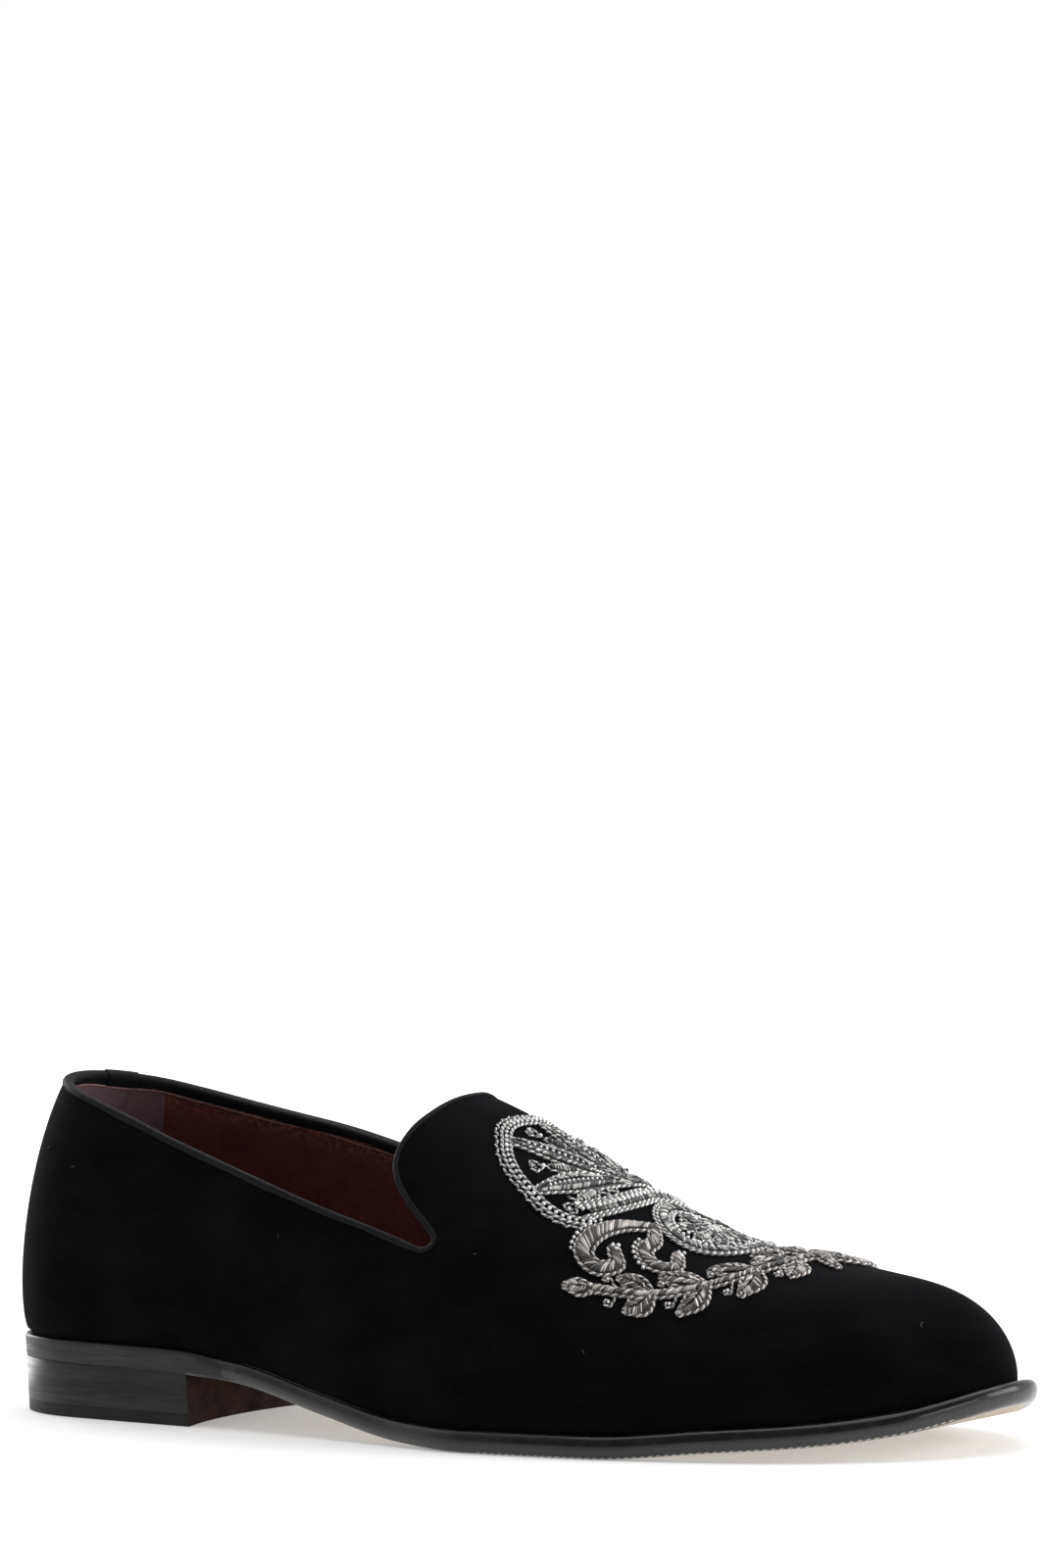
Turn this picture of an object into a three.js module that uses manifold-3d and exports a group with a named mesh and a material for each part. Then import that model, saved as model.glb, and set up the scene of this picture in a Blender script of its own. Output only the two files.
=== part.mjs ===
// A velvet slipper loafer for the right foot, built as the real shoe is: a velvet upper lasted over
// a foot form, its collar bound in ribbon, on a thin leather sole with a stacked heel, and with
// raised embroidery on the vamp. Millimetres. +X is the toe, +Y the inner side, +Z up.
// While it is built, x = 0 is the back end of the sole, y = 0 runs through the heel and z = 0 is
// the floor. At the end the shoe is moved so that it stands centred over the origin.
import * as THREE from "three";
import { mergeVertices } from "three/addons/utils/BufferGeometryUtils.js";
import Module from "manifold-3d";

const wasm = await Module();
wasm.setup();

// Sole and heel
const soleLength = 299.5;
const ballWidth = 100;
const heelWidth = 66;
const soleThickness = 5.8;
const soleEdgeRound = 1.7;
const heelHeight = 13.8;
const heelLength = 73;
const heelTaper = 0.3;
const breastHollow = 6;
const heelLifts = 3;
const topPieceThickness = 3.2;
const toeSpring = 12;

// Rand round the heel seat
const randWidth = 3.2;
const randProud = 0.4;
const randRound = 0.6;
const randEnd = 88;
const tabRound = 0.8;

// Upper
const upperWall = 2.2;
const instepRise = 76.5;
const toeRise = 30.5;
const backRise = 68.8;
const throatRise = 42.8;
const innerToplineLift = 6.2;
const heelMargin = 1.4;
const waistMargin = 1.5;
const foreMargin = 2.6;
const toeMargin = 5.2;

// Ribbon over the collar's edge
const bindingWidth = 2.8;
const bindingProud = 0.55;

// Insole, embroidery and the clearance between curved pieces that touch
const insoleThickness = 3;
const threadLift = 1.1;
const threadGap = 0.5;
const seatGap = 0.3;

// How finely curves are cut into flats
const aroundSteps = 72;
const upSteps = 10;
const collarSteps = 34;

// Half widths of the sole, as shares of the width that rules there: the heel's, then the ball's.
const outlineRows = [
  { along: 0, outer: 0, inner: 0 },
  { along: 0.03, outer: 0.306, inner: 0.295 },
  { along: 0.08, outer: 0.421, inner: 0.432 },
  { along: 0.15, outer: 0.472, inner: 0.493 },
  { along: 0.24, outer: 0.522, inner: 0.5 },
  { along: 0.35, outer: 0.523, inner: 0.394 },
  { along: 0.47, outer: 0.513, inner: 0.335 },
  { along: 0.58, outer: 0.541, inner: 0.385 },
  { along: 0.68, outer: 0.531, inner: 0.465 },
  { along: 0.78, outer: 0.476, inner: 0.485 },
  { along: 0.86, outer: 0.407, inner: 0.438 },
  { along: 0.93, outer: 0.288, inner: 0.345 },
  { along: 0.975, outer: 0.144, inner: 0.226 },
  { along: 1, outer: -0.052, inner: 0.052 },
];

// Height of the sole's underside, as shares of the heel's height and of the toe spring.
const undersideRows = [
  { along: -0.02, heel: 1.07, toe: 0 },
  { along: 0.1, heel: 1.035, toe: 0 },
  { along: 0.22, heel: 1, toe: 0 },
  { along: 0.3, heel: 0.86, toe: 0 },
  { along: 0.4, heel: 0.43, toe: 0 },
  { along: 0.5, heel: 0.065, toe: 0 },
  { along: 0.57, heel: 0, toe: 0 },
  { along: 0.7, heel: 0, toe: 0 },
  { along: 0.8, heel: 0, toe: 0.17 },
  { along: 0.88, heel: 0, toe: 0.31 },
  { along: 0.94, heel: 0, toe: 0.51 },
  { along: 1, heel: 0, toe: 1 },
];

// The last's ridge: its height over the sole as shares of the instep's and the toe's rise, and
// how far it lies towards the inner side, as a share of the ball's width.
const ridgeRows = [
  { along: 0.05, instep: 1.13, toe: 0, side: 0 },
  { along: 0.38, instep: 1.013, toe: 0, side: 0.035 },
  { along: 0.46, instep: 1, toe: 0, side: 0.045 },
  { along: 0.54, instep: 0.895, toe: 0, side: 0.052 },
  { along: 0.62, instep: 0.6, toe: 0.31, side: 0.055 },
  { along: 0.72, instep: 0.3, toe: 0.63, side: 0.055 },
  { along: 0.82, instep: 0.1, toe: 0.93, side: 0.052 },
  { along: 0.905, instep: 0, toe: 1, side: 0.05 },
];

// Each rib of the last climbs from the feather edge at along to the ridge at ridge. squareness
// bends it from an ellipse (1) towards a box (0), steepness trims its shoulder, and bulge is how
// far it swells past the feather edge, in millimetres.
const ribRows = [
  { along: 0, ridge: 0.157, squareness: 0.61, steepness: 1.07, bulge: 2.7 },
  { along: 0.12, ridge: 0.17, squareness: 0.61, steepness: 1.07, bulge: 2 },
  { along: 0.25, ridge: 0.27, squareness: 0.61, steepness: 1.07, bulge: 1 },
  { along: 0.5, ridge: 0.49, squareness: 0.86, steepness: 1, bulge: 1 },
  { along: 0.7, ridge: 0.675, squareness: 0.99, steepness: 1, bulge: 0.8 },
  { along: 0.85, ridge: 0.81, squareness: 0.96, steepness: 0.98, bulge: 0.7 },
  { along: 0.95, ridge: 0.87, squareness: 0.92, steepness: 0.96, bulge: 0.5 },
  { along: 1, ridge: 0.89, squareness: 0.92, steepness: 0.96, bulge: 0.3 },
];

// The collar seen from the outer side, from the back of the heel down to the throat's corner and
// up the tongue: its height over the sole runs from the throat's rise towards the back's rise or
// the instep's rise by the share given. lift is the share of innerToplineLift on the inner side.
const collarRows = [
  { along: -0.06, back: 1.17, instep: 0, lift: 0 },
  { along: 0.04, back: 1, instep: 0, lift: 0 },
  { along: 0.143, back: 0.69, instep: 0, lift: 0.14 },
  { along: 0.215, back: 0.43, instep: 0, lift: 0.55 },
  { along: 0.3, back: 0.215, instep: 0, lift: 0.98 },
  { along: 0.38, back: 0.13, instep: 0, lift: 1.14 },
  { along: 0.45, back: 0.09, instep: 0, lift: 1 },
  { along: 0.495, back: 0.03, instep: 0, lift: 0.8 },
  { along: 0.512, back: 0, instep: 0, lift: 0.72 },
  { along: 0.5195, back: 0, instep: 0.047, lift: 0.68 },
  { along: 0.51, back: 0, instep: 0.12, lift: 0.62 },
  { along: 0.488, back: 0, instep: 0.24, lift: 0.5 },
  { along: 0.467, back: 0, instep: 0.38, lift: 0.38 },
  { along: 0.456, back: 0, instep: 0.51, lift: 0.28 },
  { along: 0.4535, back: 0, instep: 0.64, lift: 0.18 },
  { along: 0.456, back: 0, instep: 0.79, lift: 0.08 },
  { along: 0.463, back: 0, instep: 0.95, lift: 0 },
  { along: 0.472, back: 0, instep: 1.3, lift: 0 },
];

// The embroidered motif: a palmette over a cord, a rosette in a ring, two branched scrolls, and
// below them two leafy sprays tied together under three drops. It is drawn flat, in units of
// unitAcross and unitDown, each about a millimetre: places are [across, down] from the motif's
// top, angles are in degrees from straight up the foot, and widths are half widths.
const motifStart = 0.535 * soleLength;
const unitAcross = ballWidth / 100;
const unitDown = soleLength / 300;
const palmette = {
  centre: [0, 24],
  from: 1,
  widths: [1.2, 3.2, 0.9],
  steps: 4,
  petals: [
    { angle: -66, reach: 29 },
    { angle: -33, reach: 29.5 },
    { angle: 0, reach: 25 },
    { angle: 33, reach: 29.5 },
    { angle: 66, reach: 29 },
  ],
};
const cord = { centre: [0, -20], radius: 50, from: 153, to: 207, half: 1.2, steps: 8 };
const rosette = {
  centre: [0, 49.5],
  from: 0.6,
  widths: [0.9, 2.2, 0.8],
  steps: 3,
  petals: [0, 45, 90, 135, 180, 225, 270, 315].map((angle) => ({ angle, reach: 8.8 })),
};
const ringRadius = 13.2;
const ringHalf = 1.3;
const scrollRows = [
  {
    points: [[14.5, 39], [21, 33.5], [29, 29.8], [36.5, 29.8], [39, 34.5], [35.2, 38.5], [31, 36]],
    widths: [1.2, 2.1, 1.3],
    steps: 9,
  },
  {
    points: [[14.5, 39.6], [20, 42.3], [25.3, 42], [29, 46], [26.5, 51.3], [21.5, 49.8]],
    widths: [1.2, 1.8, 1.2],
    steps: 7,
  },
];
const sprayStem = [[1.2, 80], [13, 75.5], [27, 65.5], [38.5, 51], [45.5, 36]];
const stemWidths = [1.4, 1.1, 0.8];
const leafRows = [
  { along: 0.17, turn: 48, length: 10 },
  { along: 0.37, turn: 46, length: 11.5 },
  { along: 0.57, turn: 44, length: 11.5 },
  { along: 0.77, turn: 42, length: 8.5 },
];
const leafWidths = [0.9, 2.9, 0.6];
const tieRows = [
  { points: [[-6, 78], [0, 81], [6, 78]], widths: [1.1, 1.7, 1.1] },
  { points: [[0, 80], [-3, 84.5], [-6, 88]], widths: [1, 1.8, 0.7] },
  { points: [[0, 80], [3, 84.5], [6, 88]], widths: [1, 1.8, 0.7] },
  { points: [[0, 66.6], [0, 72.5], [0, 79.5]], widths: [0.7, 1.9, 0.7] },
  { points: [[0, 68.5], [5, 70], [10, 66.5]], widths: [0.9, 1.8, 0.5] },
  { points: [[0, 68.5], [-5, 70], [-10, 66.5]], widths: [0.9, 1.8, 0.5] },
];

// A smooth curve through a table's points that never overshoots them.
function throughPoints(xs, ys) {
  const last = xs.length - 1;
  const gaps = xs.slice(1).map((x, i) => x - xs[i]);
  const slopes = gaps.map((gap, i) => (ys[i + 1] - ys[i]) / gap);
  const tangents = ys.map((_, i) => {
    if (i === 0) return slopes[0];
    if (i === last) return slopes[last - 1];
    if (slopes[i - 1] * slopes[i] <= 0) return 0;
    const before = 2 * gaps[i] + gaps[i - 1];
    const after = gaps[i] + 2 * gaps[i - 1];
    return (before + after) / (before / slopes[i - 1] + after / slopes[i]);
  });
  return (value) => {
    const x = Math.min(Math.max(value, xs[0]), xs[last]);
    let i = 0;
    while (i < last - 1 && x > xs[i + 1]) i += 1;
    const t = (x - xs[i]) / gaps[i];
    const left = ys[i] * (1 + 2 * t) * (1 - t) ** 2 + tangents[i] * gaps[i] * t * (1 - t) ** 2;
    const right = ys[i + 1] * t * t * (3 - 2 * t) + tangents[i + 1] * gaps[i] * t * t * (t - 1);
    return left + right;
  };
}

const column = (rows, name) => rows.map((row) => row[name]);
const curveOf = (rows, name) => throughPoints(column(rows, "along"), column(rows, name));
const blend = (a, b, t) => a + (b - a) * t;

function smoothStep(from, to, value) {
  const t = Math.min(Math.max((value - from) / (to - from), 0), 1);
  return t * t * (3 - 2 * t);
}

// The sole's outline, walked by an angle: 0 at the back, pi at the toe along the outer side, and
// on to a full turn along the inner side.
const waistStart = 0.22;
const waistEnd = 0.58;
const angleOf = (along) => Math.acos(1 - 2 * along);
const outlineAngles = column(outlineRows, "along").map(angleOf);
const ruleWidth = (along) =>
  blend(heelWidth, ballWidth, smoothStep(waistStart, waistEnd, along));
const halfWidths = (side) =>
  throughPoints(outlineAngles, outlineRows.map((row) => row[side] * ruleWidth(row.along)));
const outerHalf = halfWidths("outer");
const innerHalf = halfWidths("inner");

function outlinePoint(angle) {
  const folded = angle <= Math.PI ? angle : 2 * Math.PI - angle;
  const y = angle <= Math.PI ? -outerHalf(folded) : innerHalf(folded);
  return new THREE.Vector2(((1 - Math.cos(folded)) / 2) * soleLength, y);
}

// The outline moved inwards by an inset, which is a length or a function of the share along.
function insetPoint(angle, inset) {
  const turn = 2 * Math.PI;
  const step = 1e-3;
  const point = outlinePoint(angle);
  const ahead = outlinePoint((angle + step) % turn);
  const behind = outlinePoint((angle - step + turn) % turn);
  const along = ahead.sub(behind).normalize();
  const distance = typeof inset === "function" ? inset(point.x / soleLength) : inset;
  return point.add(new THREE.Vector2(-along.y, along.x).multiplyScalar(distance));
}

const heelProfile = curveOf(undersideRows, "heel");
const toeProfile = curveOf(undersideRows, "toe");
const underside = (x) =>
  heelProfile(x / soleLength) * heelHeight + toeProfile(x / soleLength) * toeSpring;
const soleTop = (x) => underside(x) + soleThickness;

// Closed meshes and solids

function meshOf(points, triangles) {
  const geometry = new THREE.BufferGeometry();
  const flat = points.flatMap((p) => [p.x, p.y, p.z]);
  geometry.setAttribute("position", new THREE.Float32BufferAttribute(flat, 3));
  geometry.setIndex(triangles.flat());
  return geometry;
}

function solidOf(geometry) {
  const bare = geometry.clone();
  bare.deleteAttribute("normal");
  bare.deleteAttribute("uv");
  const merged = mergeVertices(bare, 1e-4);
  const index = merged.index.array;
  const kept = [];
  for (let i = 0; i < index.length; i += 3) {
    const [a, b, c] = [index[i], index[i + 1], index[i + 2]];
    if (a !== b && b !== c && a !== c) kept.push(a, b, c);
  }
  return new wasm.Manifold(
    new wasm.Mesh({
      numProp: 3,
      vertProperties: merged.attributes.position.array,
      triVerts: new Uint32Array(kept),
    }),
  );
}

function geometryOf(solid) {
  const { vertProperties, triVerts } = solid.getMesh();
  const geometry = new THREE.BufferGeometry();
  geometry.setAttribute("position", new THREE.BufferAttribute(new Float32Array(vertProperties), 3));
  geometry.setIndex(new THREE.BufferAttribute(new Uint32Array(triVerts), 1));
  geometry.computeVertexNormals();
  return geometry;
}

const quad = (a, b, c, d) => [[a, b, c], [a, c, d]];

// Rings of equal length, each walked from the back along the outer side and home along the inner
// side, joined from the lowest to the highest and closed by strips straight across.
function ringSolid(rings) {
  const count = rings[0].length;
  const triangles = [];
  for (let level = 0; level < rings.length - 1; level += 1) {
    for (let i = 0; i < count; i += 1) {
      const next = (i + 1) % count;
      const low = level * count;
      const high = low + count;
      triangles.push(...quad(low + i, low + next, high + next, high + i));
    }
  }
  const top = (rings.length - 1) * count;
  for (let i = 0; i < count / 2; i += 1) {
    const across = (count - i) % count;
    const acrossNext = count - i - 1;
    triangles.push(...quad(i, across, acrossNext, i + 1));
    triangles.push(...quad(top + i, top + i + 1, top + acrossNext, top + across));
  }
  return solidOf(meshOf(rings.flat(), triangles));
}

// Outsole, with its edge rounded above and below

function soleRing(inset, height) {
  return Array.from({ length: aroundSteps }, (_, i) => {
    const p = insetPoint((i / aroundSteps) * 2 * Math.PI, inset);
    return new THREE.Vector3(p.x, p.y, height(p.x));
  });
}

function outsole() {
  const levels = [
    { inset: soleEdgeRound * 0.6, part: 0 },
    { inset: soleEdgeRound * 0.12, part: soleEdgeRound * 0.5 },
    { inset: 0, part: soleEdgeRound * 1.2 },
    { inset: 0, part: soleThickness - soleEdgeRound },
    { inset: soleEdgeRound * 0.35, part: soleThickness - soleEdgeRound * 0.35 },
    { inset: soleEdgeRound, part: soleThickness },
  ];
  return bandRound(levels).subtract(randRoom());
}

// Rand: a band round the heel seat's edge that ends in a rounded tab on each side

// Everything behind the tabs, which reach forward to the rand's end and past it by reach. Each
// tab's upper front corner is rounded off, down to the lip that it ends in.
function behindTabs(reach) {
  const end = randEnd + reach;
  const round = soleThickness * tabRound;
  const high = soleTop(end - round) + reach;
  const shape = new THREE.Shape();
  shape.moveTo(-ballWidth, -heelHeight);
  shape.lineTo(end, -heelHeight);
  shape.absarc(end - round, high - round, round, 0, Math.PI / 2, false);
  shape.lineTo(end - round, high + heelHeight);
  shape.lineTo(-ballWidth, high + heelHeight);
  const width = 2 * ballWidth;
  const options = { depth: width, bevelEnabled: false, curveSegments: 6 };
  const geometry = new THREE.ExtrudeGeometry(shape, options);
  geometry.rotateX(Math.PI / 2).translate(0, width / 2, 0);
  return solidOf(geometry);
}

function bandRound(levels) {
  return ringSolid(levels.map(({ inset, part }) => soleRing(inset, (x) => underside(x) + part)));
}

function heelSeatRand() {
  const outside = bandRound([
    { inset: randRound - randProud, part: 0 },
    { inset: -randProud, part: randRound },
    { inset: -randProud, part: soleThickness - randRound },
    { inset: randRound - randProud, part: soleThickness },
  ]);
  const inside = bandRound([
    { inset: randWidth, part: -heelHeight },
    { inset: randWidth, part: heelHeight },
  ]);
  return outside.subtract(inside).intersect(behindTabs(0));
}

// The room the rand takes up, with its clearance, which the outsole leaves free.
function randRoom() {
  const outside = bandRound([
    { inset: -randWidth, part: -heelHeight },
    { inset: -randWidth, part: heelHeight },
  ]);
  const inside = bandRound([
    { inset: randWidth + seatGap, part: -2 * heelHeight },
    { inset: randWidth + seatGap, part: 2 * heelHeight },
  ]);
  return outside.subtract(inside).intersect(behindTabs(seatGap));
}

// Heel: leather lifts and a rubber top piece, all with the same hollow breast

function heelShape() {
  const centre = new THREE.Vector2(heelLength / 2, 0);
  const steps = 16;
  const lastAngle = angleOf(heelLength / soleLength);
  const edge = Array.from({ length: 2 * steps + 1 }, (_, i) => {
    const angle = (lastAngle * (steps - i)) / steps;
    const p = insetPoint((angle + 2 * Math.PI) % (2 * Math.PI), soleEdgeRound * 0.12);
    p.x = Math.min(p.x, heelLength);
    return p;
  });
  const [innerCorner, outerCorner] = [edge[edge.length - 1], edge[0]];
  const breastSteps = 10;
  const breast = Array.from({ length: breastSteps - 1 }, (_, i) => {
    const t = (i + 1) / breastSteps;
    const hollow = breastHollow * (1 - (2 * t - 1) ** 2);
    return new THREE.Vector2(heelLength - hollow, blend(innerCorner.y, outerCorner.y, t));
  });
  return { shape: new THREE.Shape([...edge, ...breast].reverse()), centre };
}

function heelSlice(from, to) {
  const { shape, centre } = heelShape();
  const geometry = new THREE.ExtrudeGeometry(shape, { depth: 1, bevelEnabled: false, steps: 1 });
  const position = geometry.attributes.position;
  for (let i = 0; i < position.count; i += 1) {
    const [x, y, level] = [position.getX(i), position.getY(i), position.getZ(i)];
    const seat = underside(x) - seatGap;
    const z = level < 0.5 ? from(seat) : to(seat);
    const pull = (heelTaper * (1 - z / heelHeight)) / (heelWidth / 2);
    const front = x > centre.x ? 0 : 1;
    position.setXYZ(i, x + (centre.x - x) * pull * front, y - y * pull, z);
  }
  return solidOf(geometry);
}

function heelLift(index) {
  const bottom = (seat) => blend(topPieceThickness, seat, index / heelLifts) + seatGap;
  const top = (seat) => blend(topPieceThickness, seat, (index + 1) / heelLifts);
  return heelSlice(bottom, index === heelLifts - 1 ? (seat) => seat : top);
}

const heelTopPiece = () => heelSlice(() => 0, () => topPieceThickness);

// The last: ribs from the feather edge to the ridge

const marginAlong = throughPoints(
  [0, 0.25, 0.4, 0.6, 0.85, 1],
  [heelMargin, heelMargin, waistMargin, foreMargin, foreMargin, toeMargin],
);
const ridgeAlong = curveOf(ribRows, "ridge");
const squareness = curveOf(ribRows, "squareness");
const steepness = curveOf(ribRows, "steepness");
const bulgeOf = curveOf(ribRows, "bulge");
const ridgeInstep = curveOf(ridgeRows, "instep");
const ridgeToe = curveOf(ridgeRows, "toe");
const ridgeSide = curveOf(ridgeRows, "side");
const ridgeHeight = (along) =>
  soleTop(along * soleLength) + ridgeInstep(along) * instepRise + ridgeToe(along) * toeRise;

// The point of the last's surface on the rib at an angle, at climb 0 (feather) to 1 (ridge).
function lastPoint(angle, climb) {
  const base = insetPoint(angle, marginAlong);
  const along = Math.min(Math.max(base.x / soleLength, 0), 1);
  const ridge = ridgeAlong(along);
  const ridgeX = ridge * soleLength;
  const ridgeY = ridgeSide(ridge) * ballWidth;
  const reach = Math.hypot(base.x - ridgeX, base.y - ridgeY);
  const forward = (base.x - ridgeX) / reach;
  const sideways = (base.y - ridgeY) / reach;
  const step = 1e-3;
  const fall = (ridgeHeight(ridge + step) - ridgeHeight(ridge - step)) / (2 * step * soleLength);
  const low = soleTop(base.x) + seatGap;
  const turn = (climb * Math.PI) / 2;
  const share = Math.max(Math.cos(turn), 0) ** squareness(along);
  const rise = Math.sin(turn) ** steepness(along);
  const out = reach * share + bulgeOf(along) * Math.sin(Math.PI * Math.sqrt(rise));
  const slope = fall * forward * out * (1 - share);
  return new THREE.Vector3(
    ridgeX + forward * out,
    ridgeY + sideways * out,
    low + (ridgeHeight(ridge) - low) * rise + slope,
  );
}

function lastNormal(angle, climb) {
  const step = 2e-3;
  const wrap = (a) => (a + 2 * Math.PI) % (2 * Math.PI);
  const up = Math.min(climb + step, 1);
  const down = Math.max(climb - step, 0);
  const lengthways = lastPoint(wrap(angle + step), climb).sub(lastPoint(wrap(angle - step), climb));
  const upwards = lastPoint(angle, up).sub(lastPoint(angle, down));
  return lengthways.cross(upwards).normalize();
}

// The whole last as a solid, grown outwards by an offset. Below its feather edge it goes on
// straight down by skirt, so that one form can be cut out of another.
function lastSolid(offset, skirt) {
  const rings = [];
  const ring = (climb, drop) =>
    Array.from({ length: aroundSteps }, (_, i) => {
      const angle = (i / aroundSteps) * 2 * Math.PI;
      const eased = Math.min(climb, 0.995);
      const p = lastPoint(angle, climb).addScaledVector(lastNormal(angle, eased), offset);
      if (drop !== undefined) p.z = soleTop(p.x) + seatGap - drop;
      return p;
    });
  if (skirt > 0) rings.push(ring(0, skirt));
  rings.push(ring(0, 0));
  for (let level = 1; level < upSteps; level += 1) rings.push(ring(level / upSteps));
  return crestedSolid(rings, offset);
}

// Rings closed across below, and above drawn together onto the ridge line.
function crestedSolid(rings, offset) {
  const count = aroundSteps;
  const half = count / 2;
  const points = rings.flat();
  const triangles = [];
  for (let level = 0; level < rings.length - 1; level += 1) {
    for (let i = 0; i < count; i += 1) {
      const next = (i + 1) % count;
      const low = level * count;
      const high = low + count;
      triangles.push(...quad(low + i, low + next, high + next, high + i));
    }
  }
  for (let i = 0; i < half; i += 1) {
    const across = (count - i) % count;
    triangles.push(...quad(i, across, count - i - 1, i + 1));
  }
  const crestStart = points.length;
  for (let i = 0; i <= half; i += 1) {
    const crest = lastPoint((i / half) * Math.PI, 1);
    crest.z += offset;
    points.push(crest);
  }
  const top = (rings.length - 1) * count;
  for (let i = 0; i < half; i += 1) {
    const [a, b] = [crestStart + i, crestStart + i + 1];
    const across = (count - i) % count;
    const acrossNext = count - i - 1;
    triangles.push(...quad(top + i, top + i + 1, b, a));
    triangles.push(...quad(top + acrossNext, top + across, a, b));
  }
  return solidOf(meshOf(points, triangles));
}

// The collar's opening, as a cutter that runs right across the shoe

function collarLine(side) {
  const points = collarRows.map(({ along, back, instep, lift }) => {
    const x = along * soleLength;
    const climb = (backRise - throatRise) * back + (instepRise - throatRise) * instep;
    const extra = side === "inner" ? lift * innerToplineLift : 0;
    return new THREE.Vector2(x, soleTop(Math.max(x, 0)) + throatRise + climb + extra);
  });
  return new THREE.SplineCurve(points).getPoints(collarSteps);
}

// The collar's line moved down into the upper by a distance, closed well above the last.
function collarProfile(side, distance) {
  const line = collarLine(side);
  const moved = line.map((p, i) => {
    const before = line[Math.max(i - 1, 0)];
    const after = line[Math.min(i + 1, line.length - 1)];
    const along = after.clone().sub(before).normalize();
    return p.clone().add(new THREE.Vector2(along.y, -along.x).multiplyScalar(distance));
  });
  const ceiling = 2 * instepRise;
  const [first, last] = [moved[0], moved[moved.length - 1]];
  return [...moved, new THREE.Vector2(last.x, ceiling), new THREE.Vector2(first.x, ceiling)];
}

function collarCutter(distance) {
  const outer = collarProfile("outer", distance);
  const inner = collarProfile("inner", distance);
  const [wide, narrow] = [ballWidth, ballWidth / 5];
  const sections = [
    { y: -wide, profile: outer },
    { y: -narrow, profile: outer },
    { y: narrow, profile: inner },
    { y: wide, profile: inner },
  ];
  const count = outer.length;
  const points = sections.flatMap(({ y, profile }) =>
    profile.map((p) => new THREE.Vector3(p.x, y, p.y)));
  const triangles = [];
  for (let s = 0; s < sections.length - 1; s += 1) {
    for (let i = 0; i < count; i += 1) {
      const next = (i + 1) % count;
      const [near, far] = [s * count, (s + 1) * count];
      triangles.push(...quad(near + i, far + i, far + next, near + next));
    }
  }
  const capOf = (profile) => THREE.ShapeUtils.triangulateShape(profile, []);
  const lastSection = (sections.length - 1) * count;
  triangles.push(...capOf(outer).map(([a, b, c]) => [a, b, c]));
  triangles.push(...capOf(inner).map(([a, b, c]) => [lastSection + a, lastSection + c, lastSection + b]));
  return outward(solidOf(meshOf(points, triangles)), points, triangles);
}

// A solid whose faces were listed inside out is listed the other way round.
function outward(solid, points, triangles) {
  if (solid.volume() > 0) return solid;
  return solidOf(meshOf(points, triangles.map(([a, b, c]) => [a, c, b])));
}

function upper() {
  const shell = lastSolid(0, 0).subtract(lastSolid(-upperWall, soleThickness));
  return shell.subtract(collarCutter(bindingWidth + seatGap));
}

function toplineBinding() {
  const outer = lastSolid(bindingProud, 0);
  const inner = lastSolid(-upperWall - bindingProud, soleThickness);
  const band = collarCutter(bindingWidth).subtract(collarCutter(0));
  return outer.subtract(inner).intersect(band);
}

// Insole, lying in the upper on the outsole

function insole() {
  const clear = upperWall + seatGap;
  const inset = (along) => marginAlong(along) + clear;
  const low = (x) => soleTop(x) + seatGap;
  const ring = (extra, up) => soleRing((along) => inset(along) + extra, (x) => low(x) + up);
  const edge = insoleThickness / 4;
  return ringSolid([
    ring(edge, 0),
    ring(0, edge),
    ring(0, insoleThickness - edge),
    ring(edge, insoleThickness),
  ]);
}

// Embroidery: padded satin stitch, each stroke a low ridge that follows the vamp.
// A place on the vamp is given by across, the way round from the ridge (inner side positive),
// and by along, the share of the sole's length at the ridge.

function angleAtRidge(along) {
  let [low, high] = [0, 1];
  for (let i = 0; i < 24; i += 1) {
    const middle = (low + high) / 2;
    if (ridgeAlong(middle) < along) low = middle;
    else high = middle;
  }
  return angleOf(low);
}

function vampPoint(across, along, lift) {
  const outerAngle = angleAtRidge(along);
  const angle = across < 0 ? outerAngle : 2 * Math.PI - outerAngle;
  let climb = 1;
  let here = lastPoint(angle, climb);
  let walked = 0;
  const step = 0.01;
  while (walked < Math.abs(across) && climb > 2 * step) {
    const next = lastPoint(angle, climb - step);
    const length = next.distanceTo(here);
    const part = Math.min((Math.abs(across) - walked) / length, 1);
    climb -= step * part;
    walked += length * part;
    here = here.lerp(next, part);
  }
  return here.addScaledVector(lastNormal(angle, Math.min(climb, 0.985)), lift);
}

// A stroke through flat places [across, down] of the motif, with its half width at the start, the
// middle and the end.
function stroke(points, widths, steps) {
  const curve = new THREE.SplineCurve(points.map(([x, y]) => new THREE.Vector2(x, y)));
  const widthAt = throughPoints([0, 0.5, 1], widths);
  const sections = Array.from({ length: steps + 1 }, (_, i) => {
    const t = i / steps;
    const p = curve.getPoint(t);
    const sideways = curve.getTangent(t).rotateAround(new THREE.Vector2(), Math.PI / 2);
    const half = widthAt(t);
    const place = (share, lift) => {
      const q = p.clone().addScaledVector(sideways, half * share);
      const along = (motifStart + q.y * unitDown) / soleLength;
      return vampPoint(q.x * unitAcross, along, threadGap + lift);
    };
    return [place(-1, 0), place(1, 0), place(0.45, threadLift), place(-0.45, threadLift)];
  });
  const sides = sections[0].length;
  const corners = sections.flat();
  const triangles = [];
  for (let s = 0; s < steps; s += 1) {
    for (let i = 0; i < sides; i += 1) {
      const next = (i + 1) % sides;
      const [near, far] = [s * sides, (s + 1) * sides];
      triangles.push(...quad(near + i, near + next, far + next, far + i));
    }
  }
  const end = steps * sides;
  triangles.push(...quad(0, 3, 2, 1), ...quad(end, end + 1, end + 2, end + 3));
  return outward(solidOf(meshOf(corners, triangles)), corners, triangles);
}

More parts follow.
